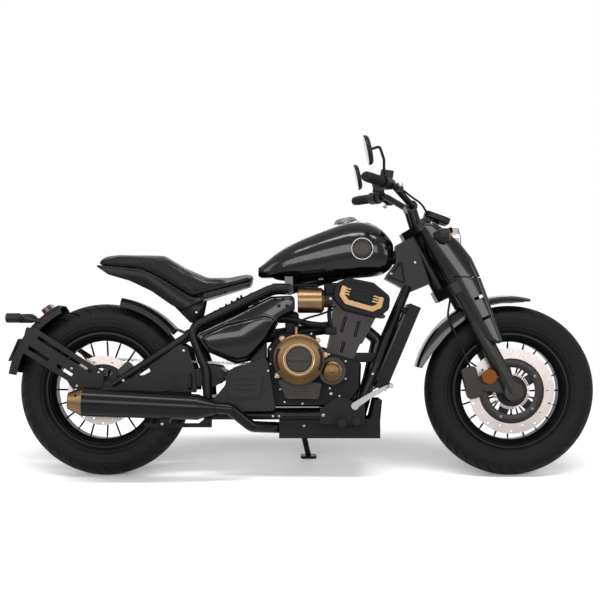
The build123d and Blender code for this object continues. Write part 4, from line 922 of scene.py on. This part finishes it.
@dataclass
class EngineTrim:
    """Screws round the cases, studs in the barrel, and the clutch's ring with the cap beside it."""

    clutch: Tuple[float, float] = (-32.0, 441.0)
    clutch_r: float = 92.0
    clutch_face: float = -187.85
    cap: Tuple[float, float] = (88.7, 397.1)
    ears_deg: Sequence[float] = (10.0, 45.0, 129.0, 217.0)
    barrel_foot: Tuple[float, float] = (126.0, 452.0)
    barrel_tilt: float = 16.0
    slim: float = 0.78          # share of a listed head radius that is made
    slots: Sequence[Tuple[float, float, float]] = ((-25, 114, 62), (28, 112, 62), (-5, 32, 44))
    seen: Sequence[Tuple[float, float, float]] = (
        # x, z where the sight line crosses the machine's middle plane, head radius
        (88, 667, 7), (318, 762, 7), (409, 805, 7), (349, 573, 6), (248, 381, 6), (14, 533, 5.5),
        (41, 510, 5.5), (82, 456, 5.5), (145, 429, 5.5), (145, 363, 5.5), (85, 327, 5.5), (90, 306, 8),
        (122, 297, 5.5), (-141, 475, 5.5), (-141, 419, 5.5), (-149, 393, 5.5), (-121, 369, 5.5),
        (-103, 323, 5.5), (-87, 274, 5.5), (-19, 268, 5.5), (-131, 221, 6), (-108, 221, 6), (-13, 184, 6),
        (-896, 402, 6), (-793, 388, 6), (-876, 336, 6), (-699, 356, 7), (-470, 470, 7), (-422, 615, 6),
        (-462, 557, 6), (-622, 195, 7), (-552, 191, 7), (60, 225, 8), (196, 262, 7),
    )
    left: Sequence[Tuple[float, float, float]] = (
        # x, z on the left side, head radius
        (112, 440, 5.5), (112, 360, 5.5), (-32, 440, 5.5), (-32, 360, 5.5), (40, 476, 5.5), (40, 324, 5.5),
        (-240, 336, 5.5), (-240, 402, 5.5), (318, 762, 7), (405, 800, 7), (-699, 356, 7), (-470, 470, 7),
        (60, 225, 8), (196, 262, 7),
    )

    def build(self, skin: Skin) -> None:
        """Make all of it.

        Args:
            skin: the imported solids.
        """
        turning = ("front_", "rear_tyre", "rear_wheel", "rear_rotor")
        still = [name for name in skin.trees if not name.startswith(turning)]
        screws = Piece("case_screws", Body.CHASSIS, Finishes.ZINC)
        for x, z, radius in self.seen:
            found = skin.meet(EYE, (x, 0.0, z), still)
            if found and -found[1][1] > 0.5:
                screws.screw(found[0], RIGHT, radius * self.slim, radius * 0.7)
        for x, z, radius in self.left:
            spot = skin.across(x, z, still, 1)
            if spot:
                screws.screw(spot, (0.0, 1.0, 0.0), radius * self.slim, radius * 0.7)
        for angle in map(math.radians, self.ears_deg):
            reach = self.clutch_r + 7
            x, z = self.clutch[0] + reach * math.cos(angle), self.clutch[1] + reach * math.sin(angle)
            spot = skin.across(x, z, ("engine_trims",))
            if spot:
                screws.screw(spot, RIGHT, 5.0, 4.5)
        screws.done()
        self._clutch_ring(skin)
        self._studs(skin)

    def _clutch_ring(self, skin: Skin) -> None:
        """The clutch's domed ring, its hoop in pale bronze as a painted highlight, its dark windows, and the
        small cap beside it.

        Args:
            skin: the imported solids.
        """
        centre = (self.clutch[0], self.clutch_face, self.clutch[1])
        dome = Piece("clutch_dome", Body.CHASSIS, Finishes.BRONZE)
        dome.turned([(53.5, -0.5), (92.5, -0.5), (93.0, 0.6), (90.0, 3.6), (80.0, 7.0), (66.0, 9.6),
                     (58.0, 10.2), (53.5, 9.4)], centre, RIGHT, 96, closed=True)
        # the hoop's pale bronze is a painted highlight line along the dome's inner edge
        highlight_hoop = Piece("clutch_highlight_hoop", Body.CHASSIS, Finishes.HIGHLIGHT_BRONZE)
        highlight_hoop.turned([(53.0, 6.0), (58.5, 9.6), (58.0, 11.0), (56.0, 11.8), (54.0, 11.0), (53.0, 9.0)],
                    centre, RIGHT, 96, closed=True)
        windows = Piece("clutch_windows", Body.CHASSIS, Finishes.ENGINE_BLACK)
        spread = math.radians(58.0)
        for middle in (0.0, math.pi):
            shape = bmesh.new()
            section = [(77.0, 4.0), (77.0, 8.4), (83.0, 6.8), (88.0, 5.0), (88.0, 2.0)]
            corners = [shape.verts.new((r, 0.0, along)) for r, along in section]
            face = shape.faces.new(corners)
            bmesh.ops.spin(shape, geom=[face] + face.edges[:] + face.verts[:], cent=(0, 0, 0), axis=(0, 0, 1),
                           dvec=(0, 0, 0), angle=spread, steps=18, use_duplicate=False)
            turn = Matrix.Rotation(middle - spread / 2, 4, "Z")
            windows.join(shape, toward(centre, RIGHT) @ turn)
        cap = Piece("cover_cap", Body.CHASSIS, Finishes.BRONZE)
        spot = skin.across(*self.cap, only=("engine_trims",))
        if spot:
            cap.turned([(33, -1), (33, 1.2), (30, 3.6), (20, 5.6), (11, 6.2), (10, 8.2), (5, 9.4), (0, 9.8)],
                       spot, RIGHT, 60)
        bar = Piece("clutch_bar", Body.CHASSIS, Finishes.ENGINE_GREY)
        bar.block((84.0, 5.0, 15.0), Matrix.Translation((centre[0], centre[1] - 2.2, centre[2])), 1.4)
        for piece in (dome, highlight_hoop, windows, cap, bar):
            piece.done(35)

    def _studs(self, skin: Skin) -> None:
        """A long stud in each slot of the barrel, on both sides.

        Args:
            skin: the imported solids.
        """
        studs = Piece("barrel_studs", Body.CHASSIS, Finishes.GUNMETAL)
        tilt = math.radians(self.barrel_tilt)
        way = Vector((math.sin(tilt), 0.0, math.cos(tilt)))
        for x, z, length in self.slots:
            place_x = self.barrel_foot[0] + x * math.cos(tilt) + z * math.sin(tilt)
            place_z = self.barrel_foot[1] - x * math.sin(tilt) + z * math.cos(tilt)
            for side in (-1, 1):
                floor = skin.across(place_x, place_z, ("cylinder",), side)
                if floor:
                    foot = Vector(floor) + Vector((0.0, side * 4.6, 0.0)) - way * (length / 2 - 2)
                    studs.turned([(0, 0), (4.4, 0), (4.4, length - 4), (0, length - 4)], tuple(foot),
                                 tuple(way), 20)
        studs.done()


@dataclass
class BarTrim:
    """Ribbed grip sleeves, bar-end weights, the right bar's cable and the instrument's glass."""

    bar_end: Point = (205.0, -412.0, 1081.0)
    bar_knee: Point = (312.0, -200.0, 1076.0)
    grip: float = 128.0
    grip_r: float = 17.6
    rib_pitch: float = 6.4
    pod: Point = (490.0, 0.0, 971.0)
    pod_tilt: float = 20.0
    cable_r: float = 4.0
    cable: Sequence[Point] = (
        (300, -212, 1078), (345, -170, 1066), (385, -120, 1040), (425, -80, 1022), (448, -50, 990),
        (462, -30, 968),
    )

    def build(self) -> None:
        """Make them on both bars."""
        sleeves = Piece("grip_ribs", Body.STEERING, Finishes.RUBBER)
        weights = Piece("bar_ends", Body.STEERING, Finishes.SATIN_BLACK)
        for side in (1, -1):
            start = self.bar_end if side == 1 else mirrored(self.bar_end)
            knee = self.bar_knee if side == 1 else mirrored(self.bar_knee)
            way = (Vector(knee) - Vector(start)).normalized()
            count = int((self.grip - 16) / self.rib_pitch)
            for index in range(count):
                low = 8 + index * self.rib_pitch
                foot, top = self.grip_r - 0.4, self.grip_r + 1.3
                rib = [(foot, low), (top, low + 1.2), (top, low + 3.6), (foot, low + 4.8)]
                sleeves.turned(rib, start, tuple(way), 28, closed=True)
            weights.turned([(0, 6), (16.5, 6), (17.5, 9), (17.5, 12), (15, 16), (0, 16)], start,
                           tuple(-way), 32)
        sleeves.done()
        weights.done()
        cable = Piece("bar_cable", Body.STEERING, Finishes.RUBBER)
        cable.pipe(self.cable, self.cable_r)
        cable.done()
        glass = Piece("instrument_glass", Body.STEERING, Finishes.GLASS)
        tilt = Matrix.Rotation(math.radians(self.pod_tilt), 4, "Y")
        top = Matrix.Translation((0, 0, 10.9))
        glass.block((82, 96, 1.6), Matrix.Translation(self.pod) @ tilt @ top, 19, True)
        glass.done()


@dataclass
class LampTrim:
    """Lenses of the turn signals."""

    front: Point = (515.0, -182.0, 893.0)
    rear: Point = (-1116.0, -112.0, 593.0)

    def build(self) -> None:
        """Make them on both sides."""
        fronts = Piece("front_signal_lenses", Body.STEERING, Finishes.AMBER)
        rears = Piece("rear_signal_lenses", Body.CHASSIS, Finishes.AMBER)
        for turn in (tuple, mirrored):
            fronts.turned([(22.5, -0.5), (22.5, 1), (19, 4), (10, 6.2), (0, 7)], turn(self.front), (1, 0, 0),
                          40)
            rears.turned([(17, -0.5), (17, 1), (14, 3.6), (7, 5), (0, 5.4)], turn(self.rear), (-1, 0, 0), 36)
        fronts.done()
        rears.done()


@dataclass
class FootTrim:
    """Ribbed rubbers on the pegs and the screw of the muffler's tip."""

    peg: Tuple[float, float] = (123.0, 214.0)
    start: float = 178.0
    length: float = 84.0
    radius: float = 15.0
    pitch: float = 10.0
    tip_seen: Tuple[float, float] = (-882.0, 298.0)

    def build(self, skin: Skin) -> None:
        """Make them on both sides.

        Args:
            skin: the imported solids.
        """
        rubbers = Piece("peg_rubbers", Body.CHASSIS, Finishes.RUBBER)
        for side in (-1, 1):
            foot = (self.peg[0], side * self.start, self.peg[1])
            for index in range(int(self.length / self.pitch)):
                low = index * self.pitch
                inner, outer = self.radius - 0.4, self.radius + 2.2
                rib = [(inner, low), (outer, low + 1), (outer, low + 5.5), (inner, low + 6.5)]
                rubbers.turned(rib, foot, (0, side, 0), 32, closed=True)
        rubbers.done()
        found = skin.meet(EYE, (self.tip_seen[0], 0.0, self.tip_seen[1]), ("muffler_tip",))
        if found:
            screw = Piece("tip_screw", Body.CHASSIS, Finishes.GUNMETAL)
            screw.screw(found[0], found[1], 5.0, 3.0)
            screw.done()


@dataclass
class Plumbing:
    """Hoses and blocks between tank, can, clutch and barrel, and the ribs of the head plate."""

    lines: Sequence[Tuple[str, float, Sequence[Point]]] = (
        # name, radius, points
        ("coolant_hose", 12.0, ((-122, -104, 594), (-66, -108, 592), (-35, -110, 581), (7, -108, 570),
                                (52, -96, 566), (108, -62, 560))),
        ("clutch_cable", 4.0, ((-43, -172, 546), (-34, -146, 580), (8, -116, 596), (48, -96, 606),
                               (84, -78, 620), (112, -60, 632))),
        ("breather_hose", 8.0, ((90, -62, 672), (80, -88, 622), (80, -98, 590), (90, -94, 552),
                                (106, -66, 516))),
    )
    blocks: Sequence[Tuple[str, Point, Point, float]] = (
        # name, size, centre, rounding
        ("starter_motor", (88, 70, 44), (-76, -70, 596), 18),
        ("starter_foot", (52, 44, 48), (-58, -66, 558), 6),
        ("plug_housing", (44, 34, 30), (86, -84, 545), 6),
        ("engine_mount_plate", (104, 9, 36), (206, -90, 446), 4),
        ("tank_tray", (176, 96, 16), (-46, 0, 716), 5),
        ("inlet_block", (64, 84, 70), (94, -40, 690), 10),
    )
    ribs: Sequence[Tuple[float, float]] = ((308, 748), (352, 806), (366, 728))
    rib_r: float = 3.4

    def build(self, skin: Skin) -> None:
        """Make them.

        Args:
            skin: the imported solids.
        """
        for name, radius, points in self.lines:
            line = Piece(name, Body.CHASSIS, Finishes.RUBBER)
            line.pipe(points, radius)
            line.done()
        for name, size, centre, rounding in self.blocks:
            block = Piece(name, Body.CHASSIS, Finishes.ENGINE_BLACK)
            block.block(size, Matrix.Translation(centre), rounding)
            block.done()
        ribs = Piece("head_plate_ribs", Body.CHASSIS, Finishes.SATIN_BLACK)
        for side in (-1, 1):
            spots = [skin.across(x, z, ("frame_head",), side) for x, z in self.ribs]
            spots = [spot for spot in spots if spot]
            for one, two in zip(spots, spots[1:] + spots[:1]):
                ribs.pipe([one, two], self.rib_r)
        ribs.done()


@dataclass(frozen=True)
class CrownedPanel:
    """A moulded panel that bulges along its spine and falls away to both sides."""

    node: str
    body: Body
    spine: Sequence[Tuple[float, float]]    # (x, z)
    half: float                             # from the spine to where it has fallen by drop
    drop: float
    inner: float                            # distance from the middle plane where the bulge starts
    outer: float                            # and where it is full
    slot: str = "gloss_black"               # name of a material slot
    grid: float = 12.0

    def off_spine(self, x: float, z: float) -> float:
        """Distance from the spine.

        Args:
            x: place along the machine.
            z: height.

        Returns:
            The shortest distance.
        """
        spot = Vector((x, z))
        gaps = []
        for one, two in zip(self.spine, self.spine[1:]):
            foot, share = intersect_point_line(spot, Vector(one), Vector(two))
            if share < 0:
                foot = Vector(one)
            elif share > 1:
                foot = Vector(two)
            gaps.append((spot - Vector(foot).to_2d()).length)
        return min(gaps)

    def build(self) -> None:
        """Refine a copy of the solid's mesh and bulge it."""
        shape = bmesh.new()
        shape.from_mesh(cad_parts[self.node].data)
        bmesh.ops.remove_doubles(shape, verts=shape.verts[:], dist=0.01 * MM)
        shape.transform(UPRIGHT)
        for _ in range(5):
            long_edges = [edge for edge in shape.edges if edge.calc_length() > self.grid]
            bmesh.ops.subdivide_edges(shape, edges=long_edges, cuts=1)
            bmesh.ops.triangulate(shape, faces=shape.faces[:])
        for corner in shape.verts:
            reach = abs(corner.co.y)
            share = min(max((reach - self.inner) / (self.outer - self.inner), 0.0), 1.0)
            fall = self.drop * min(self.off_spine(corner.co.x, corner.co.z) / self.half, 1.2) ** 2
            corner.co.y = math.copysign(reach - share * fall, corner.co.y)
        piece = Piece(self.node + "_panel", self.body, NODE_FINISH[self.node])
        piece.join(shape, Matrix.Identity(4))
        panel = piece.done(28)
        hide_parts(self.node)


FORK_SPINE = ((430, 965), (575, 745), (706, 470))
SEAT_SPINE = ((-790, 775), (-603, 752), (-480, 662), (-420, 625))
COVER_SPINE = ((-385, 506), (-240, 526), (-60, 650))
PANELS = (
    CrownedPanel("nacelle", Body.STEERING, FORK_SPINE, 78.0, 26.0, 60.0, 146.0),
    CrownedPanel("fork_guards", Body.STEERING, FORK_SPINE, 62.0, 17.0, 84.0, 146.0),
    CrownedPanel("seat_pan", Body.CHASSIS, SEAT_SPINE, 46.0, 16.0, 30.0, 120.0, "satin_black"),
    CrownedPanel("side_covers", Body.CHASSIS, COVER_SPINE, 75.0, 20.0, 100.0, 160.0),
)


@dataclass
class FrontFender:
    """Close front mudguard: a crowned sheet with side skirts that taper to both ends, on two stays."""

    centre: Tuple[float, float] = (751.0, 324.0)
    radius: float = 353.0
    half: float = 74.0
    sheet: float = 3.0
    start_deg: float = 76.0
    end_deg: float = 166.0
    steps: int = 48
    stay: Point = (604.0, 84.0, 614.0)      # middle of the lug that holds it to the left fork leg
    stay_size: Point = (42.0, 28.0, 30.0)
    rake_deg: float = 28.4
    skirts: Sequence[Tuple[float, float]] = (
        # angle from the front, skirt depth
        (76, 12), (84, 24), (104, 32), (126, 46), (146, 44), (158, 34), (166, 20),
    )

    def skirt(self, angle: float) -> float:
        """Depth of the skirt at an angle.

        Args:
            angle: degrees from straight ahead.

        Returns:
            The depth.
        """
        for (a0, d0), (a1, d1) in zip(self.skirts, self.skirts[1:]):
            if angle <= a1:
                return d0 + (d1 - d0) * max(angle - a0, 0) / (a1 - a0)
        return self.skirts[-1][1]

    def build(self) -> None:
        """Spin the section along the tyre, pull the skirts to depth and give the sheet its thickness."""
        shape = bmesh.new()
        h, r = self.half, self.radius
        section = [(r - 1.0, -h), (r - 8, -h + 1), (r - 4, -h + 5), (r, -h * 0.6), (r + 2.5, 0), (r, h * 0.6),
                   (r - 4, h - 5), (r - 8, h - 1), (r - 1.0, h)]
        corners = [shape.verts.new((radius, y, 0.0)) for radius, y in section]
        lines = [shape.edges.new(pair) for pair in zip(corners, corners[1:])]
        bmesh.ops.rotate(shape, verts=corners, cent=(0, 0, 0),
                         matrix=Matrix.Rotation(-math.radians(self.start_deg), 3, "Y"))
        sweep = math.radians(self.end_deg - self.start_deg)
        bmesh.ops.spin(shape, geom=corners + lines, cent=(0, 0, 0), axis=(0, -1, 0), dvec=(0, 0, 0),
                       angle=sweep, steps=self.steps, use_duplicate=False)
        for corner in shape.verts:
            if abs(corner.co.y) > h - 0.5:
                spot = Vector((corner.co.x, 0.0, corner.co.z))
                angle = math.degrees(math.atan2(spot.z, spot.x))
                spot = spot.normalized() * (r - self.skirt(angle))
                corner.co = Vector((spot.x, corner.co.y, spot.z))
        bmesh.ops.recalc_face_normals(shape, faces=shape.faces[:])
        bmesh.ops.solidify(shape, geom=shape.faces[:], thickness=self.sheet)
        piece = Piece("front_fender_sheet", Body.STEERING, Finishes.GLOSS_BLACK)
        piece.join(shape, Matrix.Translation((self.centre[0], 0.0, self.centre[1])))
        rake = Matrix.Rotation(-math.radians(self.rake_deg), 4, "Y")
        for place in (mirrored(self.stay), self.stay):
            piece.block(self.stay_size, Matrix.Translation(place) @ rake, 4)
        sheet = piece.done(50)
        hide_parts("front_fender")


class FrameDress:
    """Gives every CAD node its finish."""

    def dress(self) -> None:
        """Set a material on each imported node."""
        for name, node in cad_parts.items():
            node.data.materials.clear()
            node.data.materials.append(NODE_FINISH[name].build())
            LOG.info("dressed %s", name)


@dataclass(frozen=True)
class Studio:
    """Camera, floor and lights."""

    lens_mm: float = 75.8
    rise: float = 29.0 / 600.0
    floor_m: float = 60.0
    near_m: float = 1.2         # the floor shows its shadows up to here
    far_m: float = 2.6          # and is plain white from here on
    ambient: float = 0.45

    def build(self) -> None:
        """Make the whole set."""
        self._camera()
        self._floor()
        self._lights()
        self._world()
        bpy.context.scene.view_settings.view_transform = "Standard"

    def _camera(self) -> None:
        """Look square at the machine's right side, along its own cross axis."""
        data = bpy.data.cameras.new("camera")
        data.lens = self.lens_mm
        data.sensor_width = 36.0
        data.shift_y = self.rise
        camera = bpy.data.objects.new("camera", data)
        place = PARKED @ Vector(EYE)
        aim = PARKED @ Vector((EYE[0], 0.0, EYE[2]))
        camera.location = place
        camera.rotation_euler = (aim - place).to_track_quat("-Z", "Y").to_euler()
        bpy.context.collection.objects.link(camera)
        bpy.context.scene.camera = camera

    def _seen(self, tree: bpy.types.NodeTree) -> bpy.types.NodeSocket:
        """One for rays from the camera, a mirror or glass, and zero for diffuse light.

        Args:
            tree: node tree to add to.

        Returns:
            The factor.
        """
        path = add_node(tree, "ShaderNodeLightPath")
        first = add_node(tree, "ShaderNodeMath", {"operation": "ADD"}, {
            0: path.outputs["Is Camera Ray"], 1: path.outputs["Is Glossy Ray"],
        })
        both = add_node(tree, "ShaderNodeMath", {"operation": "ADD", "use_clamp": True}, {
            0: first.outputs[0], 1: path.outputs["Is Transmission Ray"],
        })
        return both.outputs[0]

    def _floor(self) -> None:
        """A wide pale floor that takes the machine's shadow and fades to white."""
        bm = bmesh.new()
        bmesh.ops.create_grid(bm, x_segments=1, y_segments=1, size=self.floor_m / 2)
        mesh = bpy.data.meshes.new("floor")
        bm.to_mesh(mesh)
        bm.free()
        paint = bpy.data.materials.new("white studio floor, painted")
        paint.use_nodes = True
        tree = paint.node_tree
        shader = tree.nodes["Principled BSDF"]
        shader.inputs["Base Color"].default_value = linear("#F4F4F4")
        shader.inputs["Roughness"].default_value = 0.9
        shader.inputs["Specular IOR Level"].default_value = 0.0
        place = add_node(tree, "ShaderNodeTexCoord").outputs["Object"]
        away = add_node(tree, "ShaderNodeVectorMath", {"operation": "LENGTH"}, {0: place})
        fade = add_node(tree, "ShaderNodeMapRange", {"interpolation_type": "SMOOTHSTEP"}, {
            "Value": away.outputs["Value"], "From Min": self.near_m, "From Max": self.far_m,
        })
        share = add_node(tree, "ShaderNodeMath", {"operation": "MULTIPLY"}, {
            0: fade.outputs["Result"], 1: self._seen(tree),
        })
        white = add_node(tree, "ShaderNodeEmission", None, {"Color": (1.0, 1.0, 1.0, 1.0), "Strength": 1.0})
        mix = add_node(tree, "ShaderNodeMixShader", None, {
            0: share.outputs[0], 1: shader.outputs["BSDF"], 2: white.outputs["Emission"],
        })
        tree.links.new(mix.outputs[0], tree.nodes["Material Output"].inputs["Surface"])
        mesh.materials.append(paint)
        floor = bpy.data.objects.new("floor", mesh)
        bpy.context.collection.objects.link(floor)

    def _lights(self) -> None:
        """A long strip overhead for the streaks, and soft boxes in front and at both ends."""
        boxes = (
            # name, place, aim, size x, size y, watts
            ("overhead strip", (0.0, -1.3, 3.4), (0.0, 0.0, 0.5), 4.6, 0.45, 135.0),
            ("camera side box", (-0.4, -5.0, 2.0), (-0.2, 0.0, 0.6), 8.5, 1.3, 275.0),
            ("front box", (4.0, -1.4, 1.8), (0.2, 0.0, 0.6), 1.2, 2.0, 40.0),
            ("rear box", (-4.0, -1.4, 1.8), (-0.2, 0.0, 0.6), 1.2, 2.0, 34.0),
            ("far side box", (0.0, 3.6, 2.4), (0.0, 0.0, 0.5), 3.0, 1.2, 45.0),
        )
        for name, place, aim, width, height, watts in boxes:
            data = bpy.data.lights.new(name, "AREA")
            data.shape = "RECTANGLE"
            data.size = width
            data.size_y = height
            data.energy = watts
            lamp = bpy.data.objects.new(name, data)
            lamp.location = place
            lamp.rotation_euler = (Vector(aim) - Vector(place)).to_track_quat("-Z", "Y").to_euler()
            bpy.context.collection.objects.link(lamp)

    def _world(self) -> None:
        """White to the camera, mirrors and glass, dimmer as diffuse light."""
        world = bpy.data.worlds.new("studio")
        bpy.context.scene.world = world
        world.use_nodes = True
        tree = world.node_tree
        strength = add_node(tree, "ShaderNodeMapRange", None, {
            "Value": self._seen(tree), "To Min": self.ambient, "To Max": 1.0,
        })
        back = tree.nodes["Background"]
        back.inputs["Color"].default_value = (1.0, 1.0, 1.0, 1.0)
        tree.links.new(strength.outputs["Result"], back.inputs["Strength"])


def main() -> None:
    """Build the dressing and the set, in order."""
    logging.basicConfig(level=logging.INFO, format="%(message)s")
    skin = Skin({name: node.data for name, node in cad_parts.items()})
    FrameDress().dress()
    Seat().build()
    for panel in PANELS:
        panel.build()
    FrontFender().build()
    Tyre("front_tyre", Body.FRONT_WHEEL, 763.0, 320.0, 65.0, 74.0, 54.0, 45.7).build()
    Tyre("rear_tyre", Body.REAR_WHEEL, -763.0, 323.0, 75.0, 84.0, 64.0, 55.7).build()
    WheelTrim("front", Body.FRONT_WHEEL, 763.0, 320.0, 104.0, 32.0, 55.0, 46.0, 64.0, -67.5).build(skin)
    WheelTrim("rear", Body.REAR_WHEEL, -763.0, 323.0, 78.0, 18.0, 62.0, 56.0).build(skin)
    TankTrim().build(skin)
    EngineTrim().build(skin)
    Plumbing().build(skin)
    BarTrim().build()
    LampTrim().build()
    FootTrim().build(skin)
    Studio().build()


if __name__ == "__main__":
    main()
